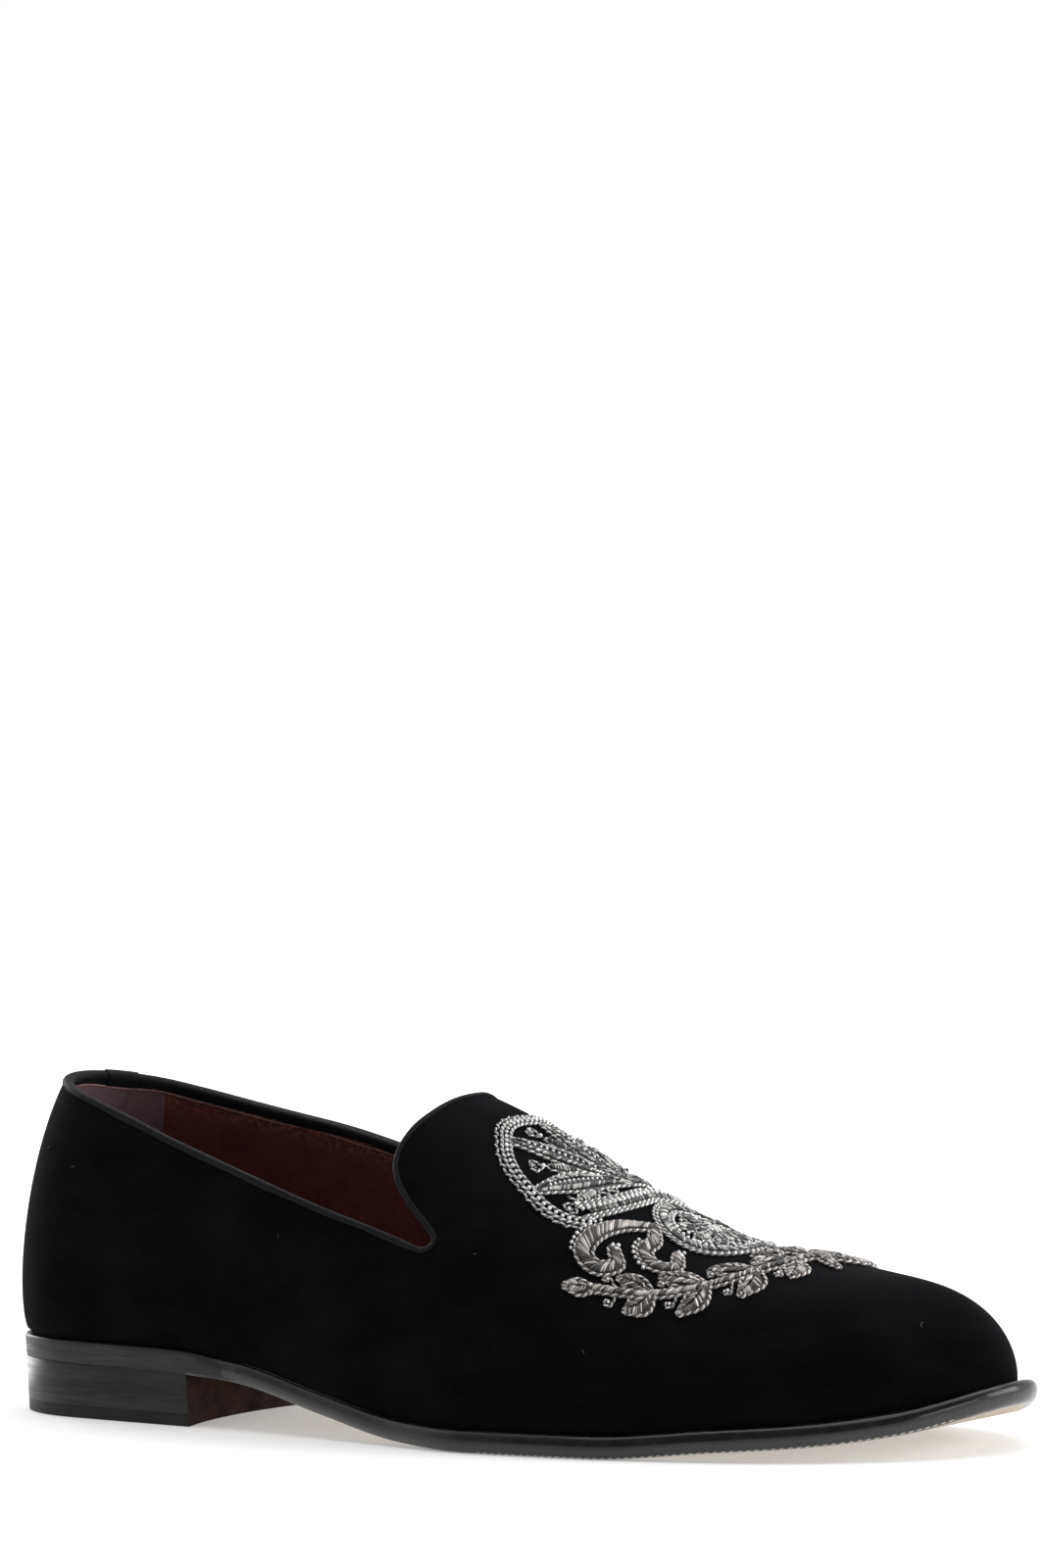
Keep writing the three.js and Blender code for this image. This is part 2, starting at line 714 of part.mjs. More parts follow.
// Strokes stitched into one body. Where a flat between two stitches dips towards the velvet it is
// trimmed to the clearance.
const velvetSurface = lastSolid(seatGap, 0);
const joined = (solids) => solids.reduce((all, one) => all.add(one)).subtract(velvetSurface);
const radians = (degrees) => (degrees * Math.PI) / 180;

// A place at a distance from a centre, at an angle turned from straight up the foot.
function around([across, down], angle, distance) {
  return [across + Math.sin(angle) * distance, down - Math.cos(angle) * distance];
}

// Petals that spread from a centre.
function fan({ centre, from, widths, steps, petals }) {
  return joined(petals.map(({ angle, reach }) => {
    const places = [from, (from + reach) / 2, reach];
    return stroke(places.map((d) => around(centre, radians(angle), d)), widths, steps);
  }));
}

// A run of cord along a circle, between two angles in degrees.
function arc({ centre, radius, from, to, half, steps }) {
  const places = Array.from({ length: steps + 1 }, (_, i) =>
    around(centre, radians(blend(from, to, i / steps)), radius));
  return stroke(places, [half, half, half], steps);
}

// A stem with pairs of leaves, to one side of the motif.
function spray(side) {
  const stem = sprayStem.map(([across, down]) => [across * side, down]);
  const curve = new THREE.SplineCurve(stem.map(([x, y]) => new THREE.Vector2(x, y)));
  const leaves = leafRows.flatMap(({ along, turn, length }) => {
    const start = curve.getPoint(along);
    const ahead = curve.getTangent(along);
    return [-1, 1].map((way) => {
      const lean = ahead.clone().rotateAround(new THREE.Vector2(), way * radians(turn));
      const bent = ahead.clone().rotateAround(new THREE.Vector2(), way * radians(turn * 0.55));
      const middle = start.clone().addScaledVector(lean, length * 0.55);
      const tip = middle.clone().addScaledVector(bent, length * 0.5);
      return stroke([start.toArray(), middle.toArray(), tip.toArray()], leafWidths, 4);
    });
  });
  return joined([stroke(stem, stemWidths, 8), ...leaves]);
}

function scroll(side) {
  return joined(scrollRows.map(({ points, widths, steps }) => {
    const places = points.map(([across, down]) => [across * side, down]);
    return stroke(places, widths, steps);
  }));
}

function ring(centre, radius, half) {
  const halves = [[-8, 188], [172, 368]];
  return joined(halves.map(([from, to]) => arc({ centre, radius, from, to, half, steps: 11 })));
}

function tie() {
  const drops = tieRows.map(({ points, widths }) => stroke(points, widths, 3));
  return joined([spray(-1), spray(1), ...drops]);
}

const leather = new THREE.MeshStandardMaterial({ color: 0x1c1a1b, roughness: 0.42 });
const velvet = new THREE.MeshStandardMaterial({ color: 0x08080a, roughness: 0.95 });
const ribbon = new THREE.MeshStandardMaterial({ color: 0x202225, roughness: 0.8 });
const lining = new THREE.MeshStandardMaterial({ color: 0x4a1711, roughness: 0.6 });
const rubber = new THREE.MeshStandardMaterial({ color: 0x161616, roughness: 0.7 });
const thread = new THREE.MeshStandardMaterial({ color: 0x8f8984, roughness: 0.5, metalness: 0.4 });

const shoe = new THREE.Group();

function add(name, solid, material) {
  const mesh = new THREE.Mesh(geometryOf(solid), material);
  mesh.name = name;
  shoe.add(mesh);
}

add("outsole", outsole(), leather);
add("heel_seat_rand", heelSeatRand(), leather);
add("heel_top_piece", heelTopPiece(), rubber);
for (let i = 0; i < heelLifts; i += 1) add(`heel_lift_${i + 1}`, heelLift(i), leather);
add("upper", upper(), velvet);
add("topline_binding", toplineBinding(), ribbon);
add("insole", insole(), lining);
add("emb_palmette", fan(palmette), thread);
add("emb_cord", joined([arc(cord)]), thread);
add("emb_rosette", fan(rosette), thread);
add("emb_ring", ring(rosette.centre, ringRadius, ringHalf), thread);
add("emb_scroll_outer", scroll(-1), thread);
add("emb_scroll_inner", scroll(1), thread);
add("emb_sprays", tie(), thread);

const bounds = new THREE.Box3().setFromObject(shoe);
const middle = bounds.getCenter(new THREE.Vector3());
shoe.position.set(-middle.x, -middle.y, -bounds.min.z);

export default shoe;
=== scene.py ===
"""Looks of the velvet slipper loafer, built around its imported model.

Lengths are in millimetres in the shoe's own frame: x = 0 at the sole's back end, +X to the toe,
+Y to the inner side and z = 0 on the floor. placed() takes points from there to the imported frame.
"""

import math

import bpy
import numpy as np
from mathutils import Matrix, Vector
from mathutils.bvhtree import BVHTree


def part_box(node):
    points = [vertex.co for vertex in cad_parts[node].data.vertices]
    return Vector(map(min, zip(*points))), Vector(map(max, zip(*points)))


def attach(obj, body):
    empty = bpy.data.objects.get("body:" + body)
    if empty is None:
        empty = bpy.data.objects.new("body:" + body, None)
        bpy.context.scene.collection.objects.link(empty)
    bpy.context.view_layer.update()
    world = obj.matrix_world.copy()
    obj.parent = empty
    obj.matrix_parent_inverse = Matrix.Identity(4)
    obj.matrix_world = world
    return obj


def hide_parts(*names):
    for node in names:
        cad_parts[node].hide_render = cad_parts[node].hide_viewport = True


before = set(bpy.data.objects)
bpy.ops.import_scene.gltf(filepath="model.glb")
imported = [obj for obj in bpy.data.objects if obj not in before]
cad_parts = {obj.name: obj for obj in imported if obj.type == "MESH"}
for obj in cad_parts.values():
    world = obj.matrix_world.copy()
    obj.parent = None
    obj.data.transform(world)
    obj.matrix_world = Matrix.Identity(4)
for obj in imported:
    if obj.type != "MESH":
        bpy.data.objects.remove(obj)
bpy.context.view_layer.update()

TURN = 2 * np.pi

# Sizes of the shoe, as in the part's source
SOLE_LENGTH = 299.5
BALL_WIDTH = 100
HEEL_WIDTH = 66
SOLE_THICKNESS = 5.8
SOLE_EDGE_ROUND = 1.7
HEEL_HEIGHT = 13.8
HEEL_LENGTH = 73
HEEL_TAPER = 0.3
BREAST_HOLLOW = 6
HEEL_LIFTS = 3
TOP_PIECE_THICKNESS = 3.2
TOE_SPRING = 12
RAND_WIDTH = 3.2
RAND_END = 88
TAB_ROUND = 0.8
UPPER_WALL = 2.2
INSTEP_RISE = 76.5
TOE_RISE = 30.5
BACK_RISE = 68.8
THROAT_RISE = 42.8
INNER_TOPLINE_LIFT = 6.2
HEEL_MARGIN = 1.4
WAIST_MARGIN = 1.5
FORE_MARGIN = 2.6
TOE_MARGIN = 5.2
INSOLE_THICKNESS = 3
THREAD_LIFT = 1.1
THREAD_GAP = 0.5
SEAT_GAP = 0.3

# Half widths of the sole: along, outer, inner, as shares of the heel's width, then the ball's
OUTLINE_ROWS = [
    (0, 0, 0),
    (0.03, 0.306, 0.295),
    (0.08, 0.421, 0.432),
    (0.15, 0.472, 0.493),
    (0.24, 0.522, 0.5),
    (0.35, 0.523, 0.394),
    (0.47, 0.513, 0.335),
    (0.58, 0.541, 0.385),
    (0.68, 0.531, 0.465),
    (0.78, 0.476, 0.485),
    (0.86, 0.407, 0.438),
    (0.93, 0.288, 0.345),
    (0.975, 0.144, 0.226),
    (1, -0.052, 0.052),
]

# Height of the sole's underside: along, share of the heel's height, share of the toe spring
UNDERSIDE_ROWS = [
    (-0.02, 1.07, 0),
    (0.1, 1.035, 0),
    (0.22, 1, 0),
    (0.3, 0.86, 0),
    (0.4, 0.43, 0),
    (0.5, 0.065, 0),
    (0.57, 0, 0),
    (0.7, 0, 0),
    (0.8, 0, 0.17),
    (0.88, 0, 0.31),
    (0.94, 0, 0.51),
    (1, 0, 1),
]

# The last's ridge: along, share of the instep's rise, of the toe's rise, side as share of the ball
RIDGE_ROWS = [
    (0.05, 1.13, 0, 0),
    (0.38, 1.013, 0, 0.035),
    (0.46, 1, 0, 0.045),
    (0.54, 0.895, 0, 0.052),
    (0.62, 0.6, 0.31, 0.055),
    (0.72, 0.3, 0.63, 0.055),
    (0.82, 0.1, 0.93, 0.052),
    (0.905, 0, 1, 0.05),
]

# Ribs of the last: along, ridge, squareness, steepness, bulge
RIB_ROWS = [
    (0, 0.157, 0.61, 1.07, 2.7),
    (0.12, 0.17, 0.61, 1.07, 2),
    (0.25, 0.27, 0.61, 1.07, 1),
    (0.5, 0.49, 0.86, 1, 1),
    (0.7, 0.675, 0.99, 1, 0.8),
    (0.85, 0.81, 0.96, 0.98, 0.7),
    (0.95, 0.87, 0.92, 0.96, 0.5),
    (1, 0.89, 0.92, 0.96, 0.3),
]

# The collar: along, share of the back's rise, of the instep's rise, and of the inner side's lift
COLLAR_ROWS = [
    (-0.06, 1.17, 0, 0),
    (0.04, 1, 0, 0),
    (0.143, 0.69, 0, 0.14),
    (0.215, 0.43, 0, 0.55),
    (0.3, 0.215, 0, 0.98),
    (0.38, 0.13, 0, 1.14),
    (0.45, 0.09, 0, 1),
    (0.495, 0.03, 0, 0.8),
    (0.512, 0, 0, 0.72),
    (0.5195, 0, 0.047, 0.68),
    (0.51, 0, 0.12, 0.62),
    (0.488, 0, 0.24, 0.5),
    (0.467, 0, 0.38, 0.38),
    (0.456, 0, 0.51, 0.28),
    (0.4535, 0, 0.64, 0.18),
    (0.456, 0, 0.79, 0.08),
    (0.463, 0, 0.95, 0),
    (0.472, 0, 1.3, 0),
]

# The embroidered motif, drawn flat as in the part's source: places are (across, down), angles are
# in degrees from straight up the foot, and widths are half widths at the start, middle and end.
MOTIF_START = 0.535 * SOLE_LENGTH
UNIT_ACROSS = BALL_WIDTH / 100
UNIT_DOWN = SOLE_LENGTH / 300
PALMETTE_CENTRE = (0, 24)
PALMETTE_FROM = 1
PALMETTE_WIDTHS = (1.2, 3.2, 0.9)
PALMETTE_PETALS = [(-66, 29), (-33, 29.5), (0, 25), (33, 29.5), (66, 29)]
CORD_CENTRE = (0, -20)
CORD_RADIUS = 50
CORD_SPAN = (153, 207)
CORD_HALF = 1.2
ROSETTE_CENTRE = (0, 49.5)
ROSETTE_FROM = 0.6
ROSETTE_REACH = 8.8
ROSETTE_PETALS = 8
ROSETTE_WIDTHS = (0.9, 2.2, 0.8)
RING_RADIUS = 13.2
RING_HALF = 1.3
SCROLL_ROWS = [
    ([(14.5, 39), (21, 33.5), (29, 29.8), (36.5, 29.8), (39, 34.5), (35.2, 38.5), (31, 36)],
     (1.2, 2.1, 1.3)),
    ([(14.5, 39.6), (20, 42.3), (25.3, 42), (29, 46), (26.5, 51.3), (21.5, 49.8)],
     (1.2, 1.8, 1.2)),
]
SPRAY_STEM = [(1.2, 80), (13, 75.5), (27, 65.5), (38.5, 51), (45.5, 36)]
STEM_WIDTHS = (1.4, 1.1, 0.8)
LEAF_ROWS = [(0.17, 48, 10), (0.37, 46, 11.5), (0.57, 44, 11.5), (0.77, 42, 8.5)]
LEAF_WIDTHS = (0.9, 2.9, 0.6)
TIE_ROWS = [
    ([(-6, 78), (0, 81), (6, 78)], (1.1, 1.7, 1.1)),
    ([(0, 80), (-3, 84.5), (-6, 88)], (1, 1.8, 0.7)),
    ([(0, 80), (3, 84.5), (6, 88)], (1, 1.8, 0.7)),
    ([(0, 66.6), (0, 72.5), (0, 79.5)], (0.7, 1.9, 0.7)),
    ([(0, 68.5), (5, 70), (10, 66.5)], (0.9, 1.8, 0.5)),
    ([(0, 68.5), (-5, 70), (-10, 66.5)], (0.9, 1.8, 0.5)),
]


# Curves and tables


def monotone(xs, ys):
    """A smooth curve through a table's points that never overshoots them."""
    xs = np.asarray(xs, float)
    ys = np.asarray(ys, float)
    gap = np.diff(xs)
    slope = np.diff(ys) / gap
    tangent = np.zeros_like(ys)
    tangent[0], tangent[-1] = slope[0], slope[-1]
    for i in range(1, len(xs) - 1):
        if slope[i - 1] * slope[i] > 0:
            before = 2 * gap[i] + gap[i - 1]
            after = gap[i] + 2 * gap[i - 1]
            tangent[i] = (before + after) / (before / slope[i - 1] + after / slope[i])

    def at(value):
        x = np.clip(np.asarray(value, float), xs[0], xs[-1])
        i = np.clip(np.searchsorted(xs, x) - 1, 0, len(gap) - 1)
        t = (x - xs[i]) / gap[i]
        left = ys[i] * (1 + 2 * t) * (1 - t) ** 2 + tangent[i] * gap[i] * t * (1 - t) ** 2
        right = ys[i + 1] * t * t * (3 - 2 * t) + tangent[i + 1] * gap[i] * t * t * (t - 1)
        return left + right

    return at


def column(rows, i):
    return np.array([row[i] for row in rows], float)


def curve_of(rows, i):
    return monotone(column(rows, 0), column(rows, i))


def smooth_step(low, high, value):
    t = np.clip((value - low) / (high - low), 0, 1)
    return t * t * (3 - 2 * t)


def unit(vectors):
    return vectors / np.maximum(np.linalg.norm(vectors, axis=-1, keepdims=True), 1e-12)


def spline(points, per):
    """A curve through points, with some steps between each two of them."""
    pts = np.asarray(points, float)
    padded = np.vstack([2 * pts[0] - pts[1], pts, 2 * pts[-1] - pts[-2]])
    t = np.linspace(0, 1, per, endpoint=False)[:, None]
    out = []
    for a, b, c, d in zip(padded, padded[1:], padded[2:], padded[3:]):
        bend = (2 * a - 5 * b + 4 * c - d) * t ** 2 + (3 * b - a - 3 * c + d) * t ** 3
        out.append(0.5 * (2 * b + (c - a) * t + bend))
    return np.vstack(out + [pts[-1:]])


def walked(points):
    """The length walked along a line up to each of its points."""
    steps = np.linalg.norm(np.diff(points, axis=0), axis=-1)
    return np.concatenate([[0], np.cumsum(steps)])


def sampled(points, lengths, at):
    """Points of a line at lengths walked along it."""
    return np.stack([np.interp(at, lengths, points[:, i]) for i in range(points.shape[1])], -1)


def resampled(points, count):
    lengths = walked(points)
    return sampled(points, lengths, np.linspace(0, lengths[-1], count))


def along_line(points, axis=0, closed=False):
    """Directions along a line of points, open or closed."""
    if closed:
        return unit(np.roll(points, -1, axis=axis) - np.roll(points, 1, axis=axis))
    return unit(np.gradient(points, axis=axis))


# Outline and heights of the sole

WAIST_START = 0.22
WAIST_END = 0.58
OUTLINE_ANGLES = np.arccos(1 - 2 * column(OUTLINE_ROWS, 0))
RULE = HEEL_WIDTH + (BALL_WIDTH - HEEL_WIDTH) * smooth_step(
    WAIST_START, WAIST_END, column(OUTLINE_ROWS, 0))
OUTER_HALF = monotone(OUTLINE_ANGLES, column(OUTLINE_ROWS, 1) * RULE)
INNER_HALF = monotone(OUTLINE_ANGLES, column(OUTLINE_ROWS, 2) * RULE)


def outline(angle):
    """The sole's outline, walked by an angle: 0 at the back, pi at the toe, outer side first."""
    folded = np.where(angle <= np.pi, angle, TURN - angle)
    y = np.where(angle <= np.pi, -OUTER_HALF(folded), INNER_HALF(folded))
    return np.stack([(1 - np.cos(folded)) / 2 * SOLE_LENGTH, y], -1)


def inset_outline(angle, inset):
    angle = np.asarray(angle, float)
    step = 1e-3
    point = outline(angle)
    along = unit(outline(np.mod(angle + step, TURN)) - outline(np.mod(angle - step, TURN)))
    distance = inset(point[..., 0] / SOLE_LENGTH) if callable(inset) else inset
    inward = np.stack([-along[..., 1], along[..., 0]], -1)
    return point + inward * np.asarray(distance)[..., None]


HEEL_PROFILE = curve_of(UNDERSIDE_ROWS, 1)
TOE_PROFILE = curve_of(UNDERSIDE_ROWS, 2)


def underside(x):
    share = x / SOLE_LENGTH
    return HEEL_PROFILE(share) * HEEL_HEIGHT + TOE_PROFILE(share) * TOE_SPRING


def sole_top(x):
    return underside(x) + SOLE_THICKNESS


# The last: ribs from the feather edge to the ridge

MARGIN = monotone(
    [0, 0.25, 0.4, 0.6, 0.85, 1],
    [HEEL_MARGIN, HEEL_MARGIN, WAIST_MARGIN, FORE_MARGIN, FORE_MARGIN, TOE_MARGIN])
RIDGE_AT = curve_of(RIB_ROWS, 1)
SQUARENESS = curve_of(RIB_ROWS, 2)
STEEPNESS = curve_of(RIB_ROWS, 3)
BULGE = curve_of(RIB_ROWS, 4)
RIDGE_INSTEP = curve_of(RIDGE_ROWS, 1)
RIDGE_TOE = curve_of(RIDGE_ROWS, 2)
RIDGE_SIDE = curve_of(RIDGE_ROWS, 3)


def ridge_height(share):
    rise = RIDGE_INSTEP(share) * INSTEP_RISE + RIDGE_TOE(share) * TOE_RISE
    return sole_top(share * SOLE_LENGTH) + rise


def last_point(angle, climb):
    """The point of the last on the rib at an angle, at climb 0 (feather edge) to 1 (ridge)."""
    angle, climb = np.broadcast_arrays(np.asarray(angle, float), np.asarray(climb, float))
    base = inset_outline(angle, MARGIN)
    share = np.clip(base[..., 0] / SOLE_LENGTH, 0, 1)
    ridge = RIDGE_AT(share)
    ridge_x = ridge * SOLE_LENGTH
    ridge_y = RIDGE_SIDE(ridge) * BALL_WIDTH
    dx, dy = base[..., 0] - ridge_x, base[..., 1] - ridge_y
    reach = np.hypot(dx, dy)
    step = 1e-3
    fall = (ridge_height(ridge + step) - ridge_height(ridge - step)) / (2 * step * SOLE_LENGTH)
    low = sole_top(base[..., 0]) + SEAT_GAP
    turn = climb * np.pi / 2
    keep = np.maximum(np.cos(turn), 0) ** SQUARENESS(share)
    rise = np.sin(turn) ** STEEPNESS(share)
    out = reach * keep + BULGE(share) * np.sin(np.pi * np.sqrt(rise))
    slope = fall * dx / reach * out * (1 - keep)
    z = low + (ridge_height(ridge) - low) * rise + slope
    return np.stack([ridge_x + dx / reach * out, ridge_y + dy / reach * out, z], -1)


NEAR_RIDGE = 0.985


def last_normal(angle, climb):
    step = 2e-3
    angle, climb = np.broadcast_arrays(np.asarray(angle, float), np.asarray(climb, float))
    climb = np.minimum(climb, NEAR_RIDGE)
    ahead = last_point(np.mod(angle + step, TURN), climb)
    behind = last_point(np.mod(angle - step, TURN), climb)
    up = last_point(angle, climb + step) - last_point(angle, np.maximum(climb - step, 0))
    return unit(np.cross(ahead - behind, up))


def off_last(angle, climb, lift):
    return last_point(angle, climb) + last_normal(angle, climb) * np.asarray(lift)[..., None]


# The collar's line seen from the side, and the signed distance below it

COLLAR_PER = 8
# The half width over which the collar's height goes over from the outer to the inner side's
NARROW = BALL_WIDTH / 5
# How many points are worked on at once
CHUNK = 8000


def collar_line():
    """The outer side's collar line as (x, z), and how much higher it lies on the inner side."""
    rows = []
    for along, back, instep, lift in COLLAR_ROWS:
        climb = (BACK_RISE - THROAT_RISE) * back + (INSTEP_RISE - THROAT_RISE) * instep
        x = along * SOLE_LENGTH
        rows.append((x, sole_top(max(x, 0)) + THROAT_RISE + climb, lift * INNER_TOPLINE_LIFT))
    return spline(rows, COLLAR_PER)


COLLAR = collar_line()


def below_collar(points):
    """How far points lie below the collar's line, seen from the side; above it is negative."""
    flat = points.reshape(-1, 3)
    out = np.empty(len(flat))
    for start in range(0, len(flat), CHUNK):
        part = flat[start:start + CHUNK]
        share = np.clip((part[:, 1] + NARROW) / (2 * NARROW), 0, 1)[:, None]
        z = COLLAR[:, 1] + share * COLLAR[:, 2]
        dx = np.diff(COLLAR[:, 0])
        dz = np.diff(z, axis=1)
        px = part[:, :1] - COLLAR[:-1, 0]
        pz = part[:, 2:] - z[:, :-1]
        t = np.clip((px * dx + pz * dz) / (dx * dx + dz * dz), 0, 1)
        away = np.hypot(px - t * dx, pz - t * dz)
        nearest = np.argmin(away, axis=1)
        rows = np.arange(len(part))
        side = (dz * px - dx * pz)[rows, nearest]
        out[start:start + CHUNK] = away[rows, nearest] * np.where(side > 0, 1, -1)
    return out.reshape(points.shape[:-1])


# Placing, meshes and pieces


def frame_shift():
    """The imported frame's place in the shoe's own frame, read off the outsole's box."""
    low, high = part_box("outsole")
    cad_steps = 72
    widest = outline(np.arange(cad_steps) / cad_steps * TURN)[:, 1].min()
    return np.array([high.x * 1000 - SOLE_LENGTH, low.y * 1000 - widest, 0])


SHIFT = frame_shift()


def placed(points):
    return (np.asarray(points, float) + SHIFT) / 1000


class Mesh:
    """Points and faces gathered part by part, with a flat place (uv), tone and slot for each."""

    def __init__(self):
        self.points = []
        self.flat = []
        self.tones = []
        self.faces = []
        self.slots = []
        self.count = 0

    def add(self, points, faces, flat=None, tone=1.0, slot=0):
        points = np.asarray(points, float).reshape(-1, 3)
        count = len(points)
        self.points.append(points)
        self.flat.append(np.zeros((count, 2)) if flat is None else np.reshape(flat, (count, 2)))
        self.tones.append(np.broadcast_to(np.asarray(tone, float).reshape(-1), count))
        for group in faces if isinstance(faces, (list, tuple)) else [faces]:
            moved = (np.asarray(group) + self.count).tolist()
            self.faces.extend(moved)
            self.slots.extend([slot] * len(moved))
        self.count += count
        return self


def piece(name, mesh, materials, replaces=()):
    """A shown piece of the shoe, riding on its one body."""
    data = bpy.data.meshes.new(name)
    data.from_pydata(placed(np.vstack(mesh.points)).tolist(), [], mesh.faces)
    for material in materials:
        data.materials.append(material)
    data.polygons.foreach_set("material_index", np.array(mesh.slots, np.int32))
    data.polygons.foreach_set("use_smooth", np.full(len(mesh.faces), True))
    corner = np.empty(len(data.loops), np.int32)
    data.loops.foreach_get("vertex_index", corner)
    uv = data.uv_layers.new(name="flat")
    uv.data.foreach_set("uv", np.vstack(mesh.flat)[corner].astype(np.float32).ravel())
    tone = data.attributes.new("tone", "FLOAT", "POINT")
    tone.data.foreach_set("value", np.concatenate(mesh.tones).astype(np.float32))
    data.update()
    obj = bpy.data.objects.new(name, data)
    bpy.context.scene.collection.objects.link(obj)
    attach(obj, "root")
    if replaces:
        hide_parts(*replaces)
    return obj


def grid_faces(rows, columns, around=False, flip=False):
    """Faces of a grid whose points run column by column in each row."""
    wide = columns if around else columns - 1
    r, c = np.meshgrid(np.arange(rows - 1), np.arange(wide), indexing="ij")
    r, c = r.ravel(), c.ravel()
    after = (c + 1) % columns
    quads = np.stack([r * columns + c, r * columns + after,
                      (r + 1) * columns + after, (r + 1) * columns + c], -1)
    return quads[:, ::-1] if flip else quads


def tubes(paths, ups, radius, sides=5, closed=False):
    """Tubes along many lines at once: paths and ups are (tubes, points, 3)."""
    ahead = along_line(paths, 1, closed)
    side = unit(np.cross(ahead, ups))
    up = np.cross(side, ahead)
    turn = np.arange(sides) / sides * TURN
    size = np.broadcast_to(np.asarray(radius, float), paths.shape[:2])[..., None, None]
    ring = np.cos(turn)[:, None] * side[:, :, None] + np.sin(turn)[:, None] * up[:, :, None]
    points = paths[:, :, None] + ring * size
    count, steps = paths.shape[:2]
    body = grid_faces(steps + 1 if closed else steps, sides, around=True)
    body = body % (steps * sides) if closed else body
    start = np.arange(count)[:, None, None] * steps * sides
    quads = (body[None] + start).reshape(-1, 4)
    groups = [quads]
    if not closed:
        cap = np.arange(sides)
        groups.append((start[:, 0] + cap[::-1]).reshape(-1, sides))
        groups.append((start[:, 0] + (steps - 1) * sides + cap).reshape(-1, sides))
    return points.reshape(-1, 3), groups


# Surfaces over the last, trimmed by the collar

RIBS_PER_SIDE = 180
CLIMBS = np.concatenate([[-0.02], np.linspace(0, 1, 97)])


def rib_angles(count):
    """Angles round the last, chosen so that the ribs of both sides meet on the ridge."""
    outer = np.linspace(0, np.pi, count + 1)
    fine = np.linspace(0, np.pi, 4001)
    outer_x = inset_outline(outer, MARGIN)[:, 0]
    inner_x = inset_outline(TURN - fine, MARGIN)[:, 0]
    inner = TURN - np.interp(outer_x, inner_x, fine)
    return np.concatenate([outer, inner[-2:0:-1]])


def refined_cuts(place, edge, start, end, start_inside):
    """Where lines between places (angle, climb) on a surface cross the collar's edge."""
    low, high = np.zeros(len(start)), np.ones(len(start))
    for _ in range(14):
        middle = (low + high) / 2
        at = start + (end - start) * middle[:, None]
        inside = below_collar(place(at[:, 0], at[:, 1])) > edge
        same = inside == start_inside
        low = np.where(same, middle, low)
        high = np.where(same, high, middle)
    at = start + (end - start) * ((low + high) / 2)[:, None]
    return place(at[:, 0], at[:, 1])


def cut_cells(quads, corners, inside, first):
    """The part below the collar of each cell that its edge crosses.

    Gives polygons, the pairs of new points that the edge joins in each cell, and for each new
    point, numbered from first, the cell's side that it lies on and whether it starts inside.
    """
    cuts, sides, polygons, segments = {}, [], [], []
    for q in np.flatnonzero(inside[quads].any(axis=1) & ~inside[quads].all(axis=1)):
        polygon, crossed = [], []
        for k, j in ((0, 1), (1, 2), (2, 3), (3, 0)):
            a, b = int(quads[q, k]), int(quads[q, j])
            if inside[a]:
                polygon.append(a)
            if inside[a] == inside[b]:
                continue
            key = (min(a, b), max(a, b))
            if key not in cuts:
                cuts[key] = first + len(sides)
                sides.append((corners[q, k], corners[q, j], inside[a]))
            polygon.append(cuts[key])
            crossed.append(cuts[key])
        if len(polygon) > 2:
            polygons.append(polygon)
        if len(crossed) == 2:
            segments.append(crossed)
    return polygons, segments, [np.array(values) for values in zip(*sides)]


def chained(segments):
    """The longest closed loop of points made by segments that share ends."""
    near = {}
    for a, b in segments:
        near.setdefault(a, []).append(b)
        near.setdefault(b, []).append(a)
    loops = []
    left = set(near)
    while left:
        here = left.pop()
        loop = [here]
        while True:
            ahead = [n for n in near[here] if n in left]
            if not ahead:
                break
            here = ahead[0]
            left.discard(here)
            loop.append(here)
        loops.append(loop)
    return max(loops, key=len)


def compacted(points, faces):
    """The points that faces use, and the faces without repeated corners."""
    used = np.unique(np.concatenate([np.ravel(face) for face in faces]))
    renamed = np.full(len(points), -1)
    renamed[used] = np.arange(len(used))
    faces = [[int(renamed[i]) for i in face] for face in faces]
    faces = [[i for n, i in enumerate(face) if i != face[n - 1]] for face in faces]
    return points[used], [face for face in faces if len(face) > 2]


def trimmed(place, edge):
    """A surface over the last below the collar by edge: its points, faces and edge loop."""
    angles = rib_angles(RIBS_PER_SIDE)
    rows, columns = len(CLIMBS), len(angles)
    points = place(np.tile(angles, rows), np.repeat(CLIMBS, columns))
    index = np.arange(rows * columns).reshape(rows, columns)
    index[-1] = np.minimum(index[-1], index[-1][-np.arange(columns) % columns])
    r, c = np.meshgrid(np.arange(rows - 1), np.arange(columns), indexing="ij")
    r, c = r.ravel(), c.ravel()
    after = (c + 1) % columns
    quads = np.stack([index[r, c], index[r, after], index[r + 1, after], index[r + 1, c]], -1)
    unrolled = np.append(angles, TURN)
    corners = np.stack([
        np.stack([unrolled[c], unrolled[c + 1], unrolled[c + 1], unrolled[c]], -1),
        np.stack([CLIMBS[r], CLIMBS[r], CLIMBS[r + 1], CLIMBS[r + 1]], -1)], -1)
    inside = below_collar(points) > edge
    polygons, segments, sides = cut_cells(quads, corners, inside, len(points))
    points = np.vstack([points, refined_cuts(place, edge, *sides)])
    faces = quads[inside[quads].all(axis=1)].tolist() + polygons
    return *compacted(points, faces), points[chained(segments)]


def add_polygons(mesh, points, faces, **more):
    """Adds faces of mixed lengths to a mesh."""
    mesh.add(points, [], **more)
    base = mesh.count - len(points)
    mesh.faces.extend([[i + base for i in face] for face in faces])
    mesh.slots.extend([more.get("slot", 0)] * len(faces))
    return mesh


